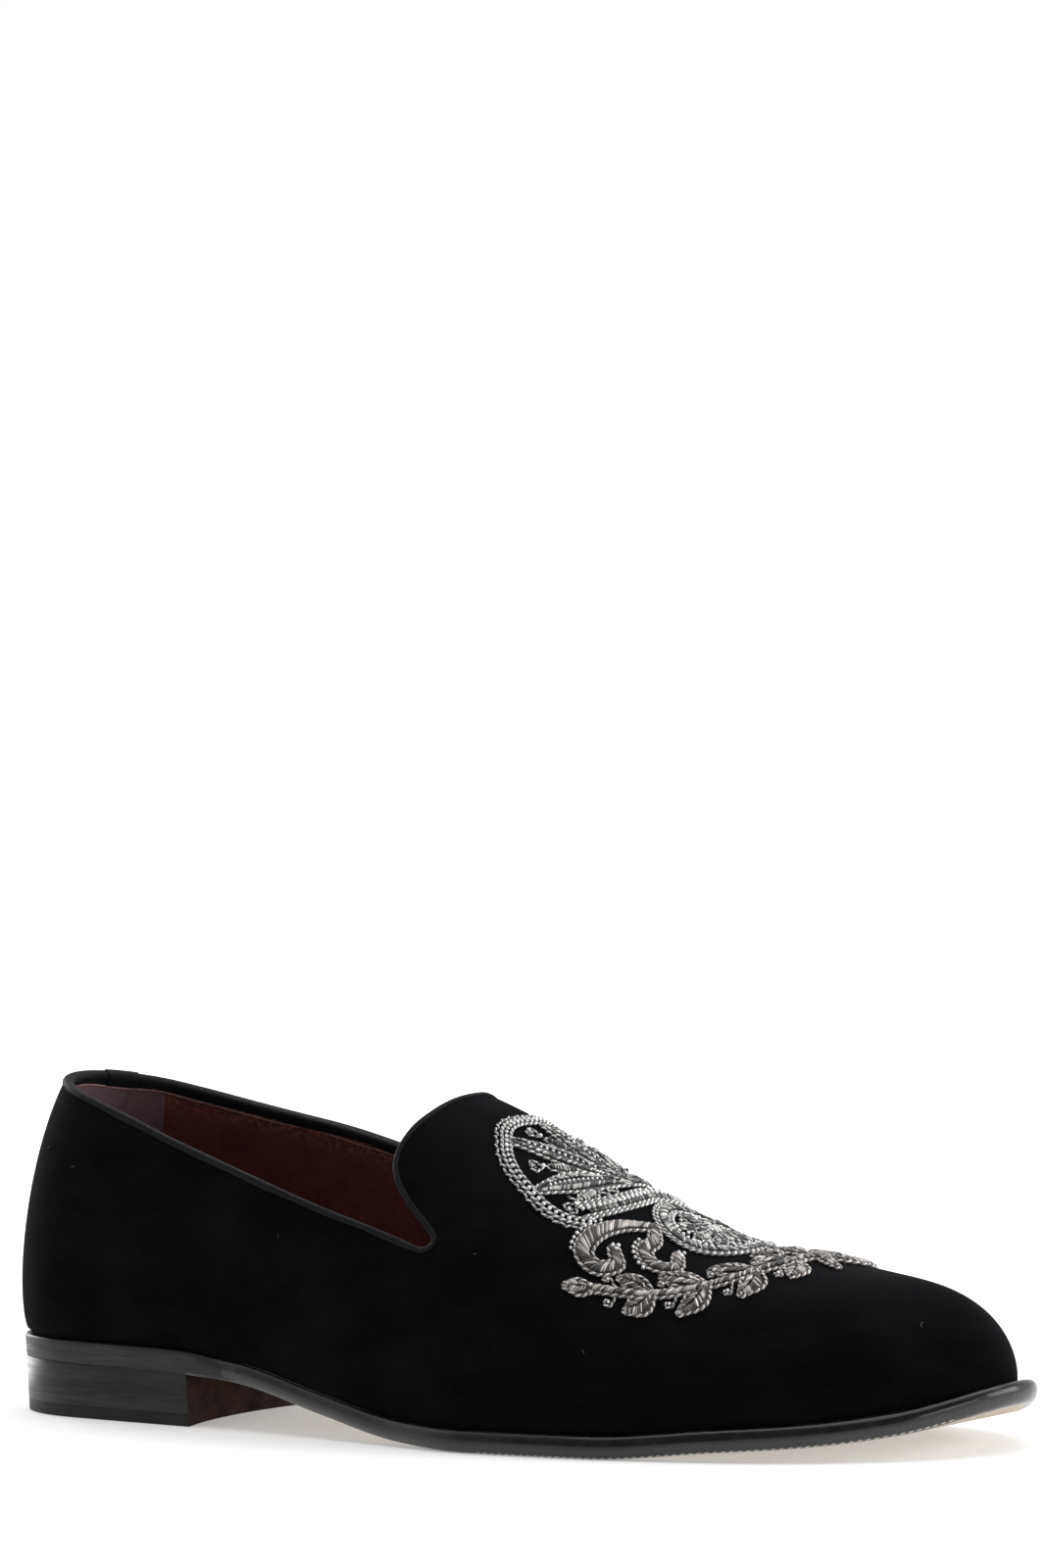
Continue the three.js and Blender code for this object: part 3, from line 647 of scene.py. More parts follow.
# The feather edge's rounding, and the seam down the velvet's back
FEATHER_ROUND = 1.2
BACK_SEAM_WIDTH = 1.1
BACK_SEAM_DEPTH = 0.3
BACK_SEAM_REACH = 30


def velvet_place(angle, climb):
    """The velvet's outside: tucked under at the feather edge, with a seam down its back."""
    low = np.clip(climb, 0, 1)
    points = last_point(angle, low)
    height = points[..., 2] - sole_top(points[..., 0])
    tuck = np.clip(1 - height / FEATHER_ROUND, 0, 1) ** 2 * FEATHER_ROUND * 0.5
    at_back = points[..., 0] < BACK_SEAM_REACH
    from_back = np.where(at_back, np.abs(points[..., 1]) / BACK_SEAM_WIDTH, 9)
    seam = BACK_SEAM_DEPTH * np.exp(-from_back ** 2)
    points = points - last_normal(angle, low) * (tuck + seam)[..., None]
    points[..., 2] -= np.where(climb < 0, SEAT_GAP + 0.15, 0)
    return points


def lining_place(angle, climb):
    return off_last(angle, np.clip(climb, 0, 1), np.full(np.shape(angle), -UPPER_WALL))


def last_place(angle, climb):
    return last_point(angle, np.clip(climb, 0, 1))


# The collar's edge as a path that things follow


class CollarPath:
    """The closed line of the collar's edge on the last, with directions out and down into the upper."""

    def __init__(self, count=960):
        angles = rib_angles(RIBS_PER_SIDE)
        rows, columns = len(CLIMBS) - 1, len(angles)
        points = last_place(np.tile(angles, rows), np.repeat(CLIMBS[1:], columns))
        faces = grid_faces(rows, columns, around=True)
        self.tree = BVHTree.FromPolygons(points.tolist(), faces.tolist())
        loop = trimmed(last_place, 0)[2]
        loop = np.roll(loop, -int(np.argmin(loop[:, 0] + np.abs(loop[:, 1]))), axis=0)
        if loop[len(loop) // 4, 1] > 0:
            loop = np.roll(loop[::-1], 1, axis=0)
        closed = resampled(np.vstack([loop, loop[:1]]), count + 1)[:-1]
        self.edge = self.eased(closed, 3)
        self.length = walked(np.vstack([self.edge, self.edge[:1]]))
        self.ahead = along_line(self.edge, closed=True)
        found = [self.tree.find_nearest(Vector(p)) for p in self.edge]
        out = self.eased(np.array([f[1] for f in found]), 9)
        self.out = unit(out - np.sum(out * self.ahead, -1, keepdims=True) * self.ahead)
        down = np.cross(self.out, self.ahead)
        deeper = below_collar(self.edge + down) - below_collar(self.edge - down)
        self.down = down * np.sign(np.median(deeper))

    @staticmethod
    def eased(values, times):
        for _ in range(times):
            values = (np.roll(values, 1, axis=0) + 2 * values + np.roll(values, -1, axis=0)) / 4
        return values

    def at(self, down, out):
        """Points along the path, down into the upper along the last and out of it by lengths."""
        down = np.broadcast_to(np.asarray(down, float), len(self.edge))
        out = np.broadcast_to(np.asarray(out, float), len(self.edge))
        flat = self.edge + self.down * down[:, None]
        on = np.array([self.tree.find_nearest(Vector(p))[0] for p in flat])
        return on + self.out * out[:, None]


def wavy(count, size, waves, seed):
    """A closed, smooth, seeded wobble of about a size."""
    draw = np.random.default_rng(seed)
    turn = np.arange(count) / count * TURN
    total = np.zeros(count)
    for wave in range(1, waves + 1):
        total += draw.normal() * np.cos(wave * turn + draw.uniform(0, TURN))
    return size * total / np.sqrt(waves / 2)


# Materials


class Look:
    """One material, its surface shader and the textures that feed it."""

    def __init__(self, name, colour, roughness, **constants):
        self.material = bpy.data.materials.new(name)
        self.material.use_nodes = True
        self.tree = self.material.node_tree
        self.shader = self.tree.nodes["Principled BSDF"]
        self.shader.inputs["Base Color"].default_value = (*colour, 1)
        self.shader.inputs["Roughness"].default_value = roughness
        for key, value in constants.items():
            socket = self.shader.inputs[key.replace("_", " ")]
            socket.default_value = (*value, 1) if isinstance(value, tuple) else value
        self.last_bump = None

    def node(self, kind, inputs=(), **settings):
        made = self.tree.nodes.new(kind)
        for key, value in settings.items():
            setattr(made, key, value)
        for key, value in dict(inputs).items():
            if isinstance(value, bpy.types.NodeSocket):
                self.tree.links.new(value, made.inputs[key])
            else:
                made.inputs[key].default_value = value
        return made

    def place(self, stretch=(1, 1, 1), flat=False):
        """The place on the shoe in metres, or the flat place in millimetres, stretched by axis."""
        if flat:
            source = self.node("ShaderNodeUVMap", uv_map="flat").outputs["UV"]
        else:
            source = self.node("ShaderNodeTexCoord").outputs["Object"]
        return self.node(
            "ShaderNodeMapping", {"Vector": source, "Scale": stretch}).outputs["Vector"]

    def noise(self, size, detail=3.0, roughness=0.6, stretch=(1, 1, 1), flat=False):
        """Noise whose lumps are about size millimetres."""
        scale = (1 if flat else 1000) / size
        return self.node("ShaderNodeTexNoise", {
            "Vector": self.place(stretch, flat), "Scale": scale,
            "Detail": detail, "Roughness": roughness}).outputs["Fac"]

    def cells(self, size):
        """Round cells of a size in millimetres."""
        return self.node("ShaderNodeTexVoronoi", {
            "Vector": self.place(), "Scale": 1000 / size}).outputs["Distance"]

    def mixed(self, factor, low, high):
        """A colour or number between low and high by a factor."""
        colours = isinstance(low, tuple) or isinstance(high, tuple)
        kind = "RGBA" if colours else "FLOAT"
        made = self.node("ShaderNodeMix", data_type=kind)
        sockets = [s for s in made.inputs if s.enabled]
        for socket, value in zip(sockets, (factor, low, high)):
            if isinstance(value, bpy.types.NodeSocket):
                self.tree.links.new(value, socket)
            else:
                socket.default_value = (*value, 1) if isinstance(value, tuple) else value
        return next(s for s in made.outputs if s.enabled)

    def ranged(self, value, low, high, to_low=0.0, to_high=1.0):
        return self.node("ShaderNodeMapRange", {
            "Value": value, "From Min": low, "From Max": high,
            "To Min": to_low, "To Max": to_high}).outputs["Result"]

    def shaded(self, value, low, high, dark, light):
        """A colour from dark to light as a value rises from low to high."""
        return self.mixed(self.ranged(value, low, high), dark, light)

    def maths(self, operation, a, b=0.0):
        return self.node("ShaderNodeMath", {0: a, 1: b}, operation=operation).outputs["Value"]

    def tone(self):
        return self.node("ShaderNodeAttribute", attribute_name="tone").outputs["Fac"]

    def bump(self, height, depth, strength=1.0):
        """Adds relief of a depth in millimetres."""
        made = self.node("ShaderNodeBump", {
            "Height": height, "Distance": depth / 1000, "Strength": strength})
        if self.last_bump:
            self.tree.links.new(self.last_bump, made.inputs["Normal"])
        self.last_bump = made.outputs["Normal"]
        self.tree.links.new(self.last_bump, self.shader.inputs["Normal"])

    def colour(self, socket):
        self.tree.links.new(socket, self.shader.inputs["Base Color"])

    def rough(self, socket):
        self.tree.links.new(socket, self.shader.inputs["Roughness"])


def velvet_look():
    """Black silk velvet: a deep pile with faint brushed patches and hardly any sheen."""
    look = Look("velvet", (0.002, 0.002, 0.0026), 0.95, Specular_IOR_Level=0.03,
                Sheen_Weight=0.014, Sheen_Roughness=0.5, Sheen_Tint=(0.8, 0.84, 1.0))
    brushed = look.ranged(look.noise(22, 4, 0.55, (1, 1, 1.8)), 0.38, 0.68)
    pile = look.noise(0.32, 2, 0.7)
    shade = look.mixed(brushed, (0.0008, 0.0008, 0.0009), (0.0033, 0.0033, 0.004))
    look.colour(look.shaded(pile, 0.45, 0.85, shade, (0.0038, 0.0038, 0.0046)))
    look.bump(look.noise(7, 3, 0.5), 0.25, 0.5)
    look.bump(pile, 0.12, 0.8)
    return look.material


RIB_PITCH = 0.62
RIB_SLANT = 0.35


def ribbon_look():
    """Grey-black grosgrain with fine slanting ribs, painted lighter on their crests as a painted
    highlight and darker between them as painted shade.
    """
    look = Look("ribbon", (0.007, 0.0073, 0.008), 0.55, Specular_IOR_Level=0.06,
                Sheen_Weight=0.012, Sheen_Roughness=0.35, Sheen_Tint=(0.8, 0.85, 0.95))
    flat = look.node("ShaderNodeSeparateXYZ", {"Vector": look.place(flat=True)}).outputs
    leaned = look.maths("ADD", flat["X"], look.maths("MULTIPLY", flat["Y"], RIB_SLANT))
    rib = look.maths("SINE", look.maths("MULTIPLY", leaned, TURN / RIB_PITCH))
    dark = look.shaded(look.noise(5, 3), 0.3, 0.7, (0.0028, 0.0029, 0.0034), (0.0052, 0.0054, 0.0062))
    # Painted shade and highlight: the colour goes from dark in the troughs between ribs to light on
    # their crests
    look.colour(look.shaded(rib, -0.6, 1, dark, (0.0105, 0.011, 0.0125)))
    look.bump(look.noise(0.25, 2), 0.05, 0.5)
    look.bump(rib, 0.07, 0.9)
    return look.material


def leather_look(name, deep, light, roughness, grain=0.7, relief=0.08, coat=0.15, painted_glint=None):
    """Dyed lining leather with a fine grain that wears lighter, and painted glints, a painted
    highlight, in patches where tone is 1.
    """
    look = Look(name, deep, roughness, Coat_Weight=coat, Coat_Roughness=0.3)
    worn = look.ranged(look.noise(9, 5, 0.65), 0.38, 0.72)
    fine = look.noise(0.9, 3)
    mixed = look.shaded(fine, 0.35, 0.9, look.mixed(worn, deep, light), light)
    # Painted glints: lighter patches where tone is 1, a painted highlight
    if painted_glint:
        patchy = look.ranged(look.noise(1.3, 4, 0.7), 0.48, 0.62)
        mixed = look.mixed(look.maths("MULTIPLY", look.tone(), patchy), mixed, painted_glint)
    look.colour(mixed)
    look.rough(look.ranged(look.noise(3, 4), 0.3, 0.7, roughness - 0.08, roughness + 0.12))
    look.bump(look.noise(2.6, 3), relief * 2, 0.5)
    look.bump(look.cells(grain), relief, 0.8)
    return look.material


def suede_look():
    look = Look("pocket_suede", (0.09, 0.05, 0.055), 0.9, Specular_IOR_Level=0.1,
                Sheen_Weight=0.15, Sheen_Roughness=0.5, Sheen_Tint=(0.9, 0.7, 0.72))
    nap = look.noise(4, 5, 0.7)
    look.colour(look.mixed(nap, (0.07, 0.04, 0.047), (0.14, 0.09, 0.102)))
    look.bump(look.noise(0.3, 2), 0.08, 0.7)
    return look.material


BARE_LEATHER = (0.035, 0.032, 0.027), (0.13, 0.12, 0.103)


def edge_look():
    """The sole's stained and waxed edge: browner where tone rises, and bare leather at tone 1."""
    look = Look("edge_leather", (0.006, 0.006, 0.006), 0.3, Specular_IOR_Level=0.24,
                Coat_Weight=0.25, Coat_Roughness=0.08)
    fibre = look.noise(0.5, 4, 0.6, (0.12, 0.12, 1))
    worn = look.noise(6, 5, 0.7)
    stain = look.shaded(worn, 0.4, 0.75, (0.0022, 0.0022, 0.0024), (0.0105, 0.0095, 0.0085))
    stain = look.shaded(look.tone(), 0, 0.3, stain, (0.048, 0.042, 0.034))
    bare = look.mixed(fibre, *BARE_LEATHER)
    ragged = look.maths("ADD", look.tone(), look.ranged(look.noise(1.6, 4), 0.2, 0.8, -0.28, 0.28))
    share = look.ranged(ragged, 0.35, 0.65)
    look.colour(look.mixed(share, stain, bare))
    look.rough(look.mixed(share, look.ranged(worn, 0.3, 0.75, 0.2, 0.4), 0.7))
    look.bump(look.noise(3.5, 3), 0.12, 0.5)
    look.bump(fibre, 0.05, 0.5)
    return look.material


def heel_look():
    """Stained heel edge with the fine level scratches that finishing leaves. Tone 1 is bare."""
    look = Look("heel_leather", (0.012, 0.012, 0.0125), 0.36, Specular_IOR_Level=0.19,
                Coat_Weight=0.06, Coat_Roughness=0.2)
    level = look.noise(0.55, 4, 0.65, (0.035, 0.035, 1))
    band = look.noise(2.6, 3, 0.6, (0.05, 0.05, 1))
    worn = look.noise(11, 5, 0.6)
    deep = look.shaded(worn, 0.35, 0.7, (0.0055, 0.0055, 0.006), (0.0125, 0.0125, 0.0137))
    scored = look.shaded(level, 0.45, 0.75, deep, (0.03, 0.03, 0.032))
    look.colour(look.mixed(look.tone(), scored, look.mixed(level, *BARE_LEATHER)))
    look.rough(look.ranged(band, 0.3, 0.7, 0.3, 0.5))
    look.bump(band, 0.06, 0.6)
    look.bump(level, 0.035, 0.8)
    return look.material


def breast_look():
    """The heel's raw breast, brushed with a thin red-brown stain."""
    look = Look("breast_leather", (0.04, 0.02, 0.018), 0.8, Specular_IOR_Level=0.12)
    fibre = look.noise(1.1, 5, 0.75, (1, 0.5, 1.6))
    patch = look.noise(7, 4, 0.6)
    deep = look.shaded(patch, 0.3, 0.7, (0.010, 0.0075, 0.007), (0.052, 0.026, 0.023))
    look.colour(look.shaded(fibre, 0.5, 0.8, deep, (0.085, 0.05, 0.044)))
    look.bump(fibre, 0.25, 0.8)
    return look.material


def sole_look():
    """Tan sole leather with the marks of a little wear."""
    look = Look("sole_leather", (0.5, 0.43, 0.35), 0.55, Specular_IOR_Level=0.3)
    patch = look.noise(16, 5, 0.6)
    scuff = look.noise(1.5, 5, 0.75, (0.3, 1.4, 1))
    tan = look.mixed(patch, (0.42, 0.34, 0.26), (0.58, 0.5, 0.41))
    look.colour(look.shaded(scuff, 0.58, 0.75, tan, (0.24, 0.19, 0.145)))
    look.rough(look.ranged(scuff, 0.3, 0.8, 0.42, 0.75))
    look.bump(scuff, 0.12, 0.6)
    return look.material


def rubber_look():
    look = Look("heel_rubber", (0.01, 0.01, 0.0105), 0.5, Specular_IOR_Level=0.17)
    level = look.noise(0.6, 3, 0.6, (0.05, 0.05, 1))
    worn = look.noise(5, 4)
    look.colour(look.shaded(worn, 0.35, 0.7, (0.0055, 0.0055, 0.006), (0.0135, 0.0135, 0.0142)))
    look.bump(level, 0.03, 0.7)
    look.bump(look.noise(0.35, 2), 0.03, 0.5)
    return look.material


TARNISH = 0.04


def metal_thread_look(name, shine, roughness):
    """Silvered thread. Tone sets how bright each thread is, from tarnished to clean."""
    look = Look(name, shine, roughness, Metallic=0.6, Specular_IOR_Level=0.5)
    spun = look.noise(0.22, 2, 0.6)
    patch = look.ranged(look.noise(5, 3), 0.3, 0.7, 0.62, 1.08)
    shade = look.maths("MULTIPLY", look.tone(), patch)
    worn = look.mixed(shade, tuple(TARNISH * c for c in shine), shine)
    look.colour(look.shaded(spun, 0.55, 0.9, worn, shine))
    look.rough(look.ranged(spun, 0.3, 0.75, roughness - 0.06, roughness + 0.12))
    look.bump(spun, 0.04, 0.7)
    return look.material


def plain_thread_look(name, colour):
    look = Look(name, colour, 0.7, Sheen_Weight=0.3)
    spun = look.noise(0.3, 2)
    look.colour(look.mixed(spun, tuple(c * 0.6 for c in colour), colour))
    look.bump(spun, 0.05, 0.6)
    return look.material


VELVET = velvet_look()
RIBBON = ribbon_look()
# The lining's glint colour is a painted highlight near the collar
LINING = leather_look("lining_leather", (0.072, 0.0175, 0.018), (0.145, 0.038, 0.034), 0.4,
                      painted_glint=(0.3, 0.11, 0.062))
SUEDE = suede_look()
PIPING = leather_look("lining_edge", (0.16, 0.075, 0.07), (0.3, 0.17, 0.16), 0.55, coat=0.0)
SOCK = leather_look("sock_leather", (0.05, 0.01, 0.007), (0.12, 0.03, 0.018), 0.5)
EDGE = edge_look()
HEEL = heel_look()
BREAST = breast_look()
SOLE = sole_look()
RUBBER = rubber_look()
SILVER = metal_thread_look("metal_thread", (0.86, 0.845, 0.825), 0.34)
WARM = metal_thread_look("warm_metal_thread", (0.8, 0.75, 0.72), 0.38)
BRIGHT = metal_thread_look("bright_beads", (0.96, 0.95, 0.94), 0.2)
LINEN = plain_thread_look("linen_thread", (0.75, 0.72, 0.66))
DARK_THREAD = plain_thread_look("lining_thread", (0.10, 0.035, 0.025))
LINT = plain_thread_look("lint", (0.09, 0.095, 0.11))


# Upper: velvet, lining, heel pocket and the ribbon round the collar

# How far below the collar the velvet ends, the piping runs and the stitches run
VELVET_EDGE = 1.0
PIPING_DOWN = 3.3
STITCH_DOWN = 4.7
STITCH_PITCH = 2.1
# Where the lining has painted glints, a painted highlight near the collar: fully to the first depth
# below the collar, not at all from the second
GLINT_FROM, GLINT_TO = 4.5, 9.5
CREASE_DEPTH = 0.22
CREASE_PITCH = 4.4
CREASE_REACH = 12
POCKET_WALL = 0.4
POCKET_FRONT = 19.5
POCKET_FOOT = 0.06


def velvet_upper():
    points, faces, _ = trimmed(velvet_place, VELVET_EDGE)
    mesh = add_polygons(Mesh(), points, faces)
    return piece("velvet_upper", mesh, [VELVET], ["upper"])


def upper_lining():
    """The lining, with the small creases that it takes at the throat's corners, and painted glints, a
    painted highlight, near the collar.
    """
    points, faces, _ = trimmed(lining_place, VELVET_EDGE)
    corner = COLLAR[np.argmax(COLLAR[:80, 0])]
    away = np.hypot(points[:, 0] - corner[0] + 6, points[:, 2] - corner[1] + 5)
    crease = np.sin((points[:, 0] + 0.6 * points[:, 2]) * TURN / CREASE_PITCH)
    inward = np.where(points[:, 1] > 0, -1.0, 1.0)
    points[:, 1] += inward * CREASE_DEPTH * crease * np.exp(-(away / CREASE_REACH) ** 2)
    # Tone of the painted glints, a painted highlight just below the collar's edge
    painted_glint = smooth_step(GLINT_TO, GLINT_FROM, below_collar(points))
    mesh = add_polygons(Mesh(), points, [face[::-1] for face in faces], tone=painted_glint)
    return piece("upper_lining", mesh, [LINING])


def pocket_climb(angle, edge):
    """The climb at which the pocket's wall meets a distance below the collar."""
    low, high = np.full(len(angle), 0.1), np.full(len(angle), 0.9)
    for _ in range(16):
        middle = (low + high) / 2
        inside = below_collar(pocket_place(angle, middle)) > edge
        low = np.where(inside, middle, low)
        high = np.where(inside, high, middle)
    return low


def pocket_place(angle, climb):
    lift = np.full(np.shape(angle), -UPPER_WALL - POCKET_WALL)
    return off_last(np.mod(angle, TURN), climb, lift)


def heel_pocket():
    """The suede pocket that lines the heel, ending in a straight front seam on each side."""
    columns, rows = 90, 40
    reach = np.arccos(1 - 2 * POCKET_FRONT / SOLE_LENGTH)
    angle = np.linspace(-reach, reach, columns)
    top = pocket_climb(angle, PIPING_DOWN - 0.3)
    share = np.linspace(0, 1, rows)[:, None]
    climb = POCKET_FOOT + (top - POCKET_FOOT) * share
    angle = np.broadcast_to(angle, climb.shape)
    points = pocket_place(angle, climb)
    wall = off_last(np.mod(angle, TURN), climb, np.full(climb.shape, -UPPER_WALL + 0.05))
    skin = np.concatenate([wall[:, :1], points, wall[:, -1:]], axis=1)
    mesh = Mesh().add(skin, grid_faces(rows, columns + 2, flip=True))
    return piece("heel_pocket", mesh, [SUEDE])


# The ribbon's section: down the upper along the last, and out of it
RIBBON_SECTION = [
    (1.85, 0.08), (1.82, 0.3), (1.7, 0.42), (1.4, 0.48), (1.0, 0.5), (0.56, 0.42), (0.24, 0.22),
    (0.06, -0.12), (0.0, -0.7), (0.0, -1.5), (0.06, -2.05), (0.26, -2.45), (0.62, -2.68),
    (1.1, -2.78), (1.8, -2.8), (2.5, -2.78), (2.85, -2.72), (3.0, -2.5), (3.05, -2.2),
]


# How the ribbon's hems and the lining's piping waver: by how much, in how many waves, and the seed
OUTER_HEM = (0.12, 23, 5)
INNER_HEM = (0.22, 17, 6)
PIPING_WAVER = (0.45, 31, 9)
# The share of the way round the collar over which the ribbon's end overlaps its start
OVERLAP_SPAN = (0.962, 0.984)
OVERLAP_PROUD = 0.24


def ribbon_grid(path, extra=0.0):
    """Rows of points along the collar, one for each corner of the ribbon's section."""
    count = len(path.edge)
    hem = wavy(count, *OUTER_HEM)
    inner_hem = wavy(count, *INNER_HEM)
    rows = []
    for down, out in RIBBON_SECTION:
        middle = -UPPER_WALL / 2
        grown = out + extra * np.sign(out - middle)
        sunk = down - extra * (1 - min(down / 0.6, 1))
        wobble = hem if out > middle else inner_hem
        rows.append(path.at(sunk + wobble * smooth_step(1.2, 1.8, down), grown))
    return np.array(rows)


def collar_ribbon(path):
    rows = ribbon_grid(path)
    closed = np.concatenate([rows, rows[:, :1]], axis=1)
    across = walked(np.array(RIBBON_SECTION))
    flat = np.stack(np.broadcast_arrays(path.length[None, :], across[:, None]), -1)
    mesh = Mesh().add(closed, grid_faces(*closed.shape[:2]), flat)
    return piece("collar_ribbon", mesh, [RIBBON], ["topline_binding"])


def ribbon_overlap(path):
    """The ribbon's end, folded under and laid over its start near the back."""
    rows = ribbon_grid(path, OVERLAP_PROUD)
    start, end = (int(share * rows.shape[1]) for share in OVERLAP_SPAN)
    base = ribbon_grid(path, 0.02)[:, start:end]
    skin = np.concatenate([base[:, :1], rows[:, start:end], base[:, -1:]], axis=1)
    across = walked(np.array(RIBBON_SECTION))
    along = path.length[start - 1:end + 1]
    flat = np.stack(np.broadcast_arrays(along[None, :], across[:, None]), -1)
    mesh = Mesh().add(skin, grid_faces(*skin.shape[:2]), flat)
    return piece("ribbon_overlap", mesh, [RIBBON])


# The piping is thicker and more ragged near the back, within about these lengths
PIPING_RADIUS = 0.2
THICKER_WITHIN = 60
RAGGED_WITHIN = 45


def lining_piping(path):
    """The lining's folded edge, which shows as a pale line below the ribbon inside."""
    from_back = np.minimum(path.length[:-1], path.length[-1] - path.length[:-1])
    ragged = 0.35 + 0.9 * np.exp(-(from_back / RAGGED_WITHIN) ** 2)
    down = PIPING_DOWN + ragged * wavy(len(path.edge), *PIPING_WAVER)
    line = path.at(down, -UPPER_WALL - 0.28)
    radius = PIPING_RADIUS * (1 + np.exp(-(from_back / THICKER_WITHIN) ** 2))
    points, faces = tubes(line[None], np.broadcast_to(path.out, line.shape)[None], radius, 8, True)
    return piece("lining_piping", Mesh().add(points, faces), [PIPING])


def lining_stitches(path):
    """A row of dark stitches that holds the lining under its edge."""
    line = path.at(STITCH_DOWN, -UPPER_WALL - 0.1)
    total = path.length[-1]
    count = int(total / STITCH_PITCH)
    closed = np.vstack([line, line[:1]])
    outs = np.vstack([path.out, path.out[:1]])
    middles = (np.arange(count) + 0.5) * total / count
    spans = np.linspace(-0.36, 0.36, 5) * STITCH_PITCH
    at = np.clip(middles[:, None] + spans, 0, total)
    paths = sampled(closed, path.length, at)
    ups = sampled(outs, path.length, at)
    dip = 0.22 * (spans / spans[-1]) ** 2
    points, faces = tubes(paths + ups * dip[:, None], ups, 0.2, 5)
    return piece("lining_stitches", Mesh().add(points, faces), [DARK_THREAD])


SOCK_ROUND = 0.8
SOCK_ROUND_WIDTH = 1.2
SOCK_PAD = 0.35
SOCK_SINK = 0.35


def sock():
    """The leather sock that covers the insole, slightly padded under the heel."""
    columns, rows = 160, 24
    angle = np.linspace(0, np.pi, columns)
    clear = UPPER_WALL + SEAT_GAP
    outer = inset_outline(angle, lambda share: MARGIN(share) + clear)
    inner = inset_outline(TURN - angle, lambda share: MARGIN(share) + clear)
    share = np.linspace(0, 1, rows)[:, None, None]
    flat = outer + (inner - outer) * share
    edge = np.minimum(share, 1 - share)[..., 0] * np.linalg.norm(inner - outer, axis=-1)
    rounded = SOCK_ROUND * (1 - np.clip(edge / SOCK_ROUND_WIDTH, 0, 1)) ** 2
    pad = SOCK_PAD * smooth_step(90, 60, flat[..., 0])
    z = sole_top(flat[..., 0]) + SEAT_GAP + INSOLE_THICKNESS - rounded + pad - SOCK_SINK
    top = np.concatenate([flat, z[..., None]], -1)
    mesh = Mesh().add(top, grid_faces(rows, columns))
    ring = np.concatenate([top[0], top[-1][::-1]])
    low = ring - [0, 0, INSOLE_THICKNESS - SOCK_ROUND]
    mesh.add(np.stack([low, ring]), grid_faces(2, len(ring), around=True))
    return piece("sock", mesh, [SOCK], ["insole"])


# Sole: its edge, bottom and the stitches along the edge

# The edge's section: inset from the outline, and height over the underside
EDGE_SECTION = [
    (3.4, 0.0), (2.5, 0.0), (1.9, 0.05), (1.4, 0.2), (1.02, 0.42), (0.72, 0.7), (0.46, 1.05),
    (0.25, 1.5), (0.1, 2.0), (0.02, 2.5), (0.0, 2.9), (0.02, 3.3), (0.1, 3.8), (0.25, 4.25),
    (0.46, 4.66), (0.74, 5.03), (1.08, 5.35), (1.5, 5.6), (2.0, 5.75), (2.6, 5.8), (3.4, 5.8),
]
# The bevel under the waist: how far it goes in, and up to what height
WAIST_BEVEL = 0.8
BEVEL_HEIGHT = 3.2


def band_points(angle, inset, part):
    """Points round the outline at an inset, and part above the underside."""
    flat = inset_outline(angle, inset)
    return np.concatenate([flat, (underside(flat[..., 0]) + part)[..., None]], -1)


def waist_share(x):
    """How much a place belongs to the waist, where the edge is bevelled."""
    return smooth_step(70, 95, x) * smooth_step(185, 135, x)


def waist_bevel(x, part):
    """How far the waist's bevel takes the edge back, at a place and a height."""
    return WAIST_BEVEL * waist_share(x) * np.clip(1 - part / BEVEL_HEIGHT, 0, 1) ** 1.5


def laid_across(ring_angles, inset, part, columns=14):
    """A face of the sole inside a ring: points across from each outer place to its inner one."""
    half = ring_angles[ring_angles <= np.pi]
    outer = band_points(half, inset, part)
    inner = band_points(np.mod(TURN - half, TURN), inset, part)
    share = np.linspace(0, 1, columns)[None, :, None]
    points = outer[:, None] + (inner - outer)[:, None] * share
    points[..., 2] = underside(points[..., 0]) + part
    return points


# The rand's tab: its length, and how far it stands proud of the edge beside it
TAB_LENGTH = 13.0
TAB_STEP = 0.15
# Where the edge comes out from behind the rand, back from the rand's end
EMERGING = (4, 6)
# Tones of the waist's bare lip and of the edge's foot
WORN_LIP = 0.9
WORN_FOOT = 0.22


def tab_height(x):
    """The rand's height, which falls off in a long curve at its two tabs."""
    ahead = np.clip((x - RAND_END + TAB_LENGTH) / TAB_LENGTH, 0, 1)
    low = SOLE_THICKNESS * (1 - TAB_ROUND)
    return low + (SOLE_THICKNESS - low) * np.sqrt(1 - ahead ** 2)


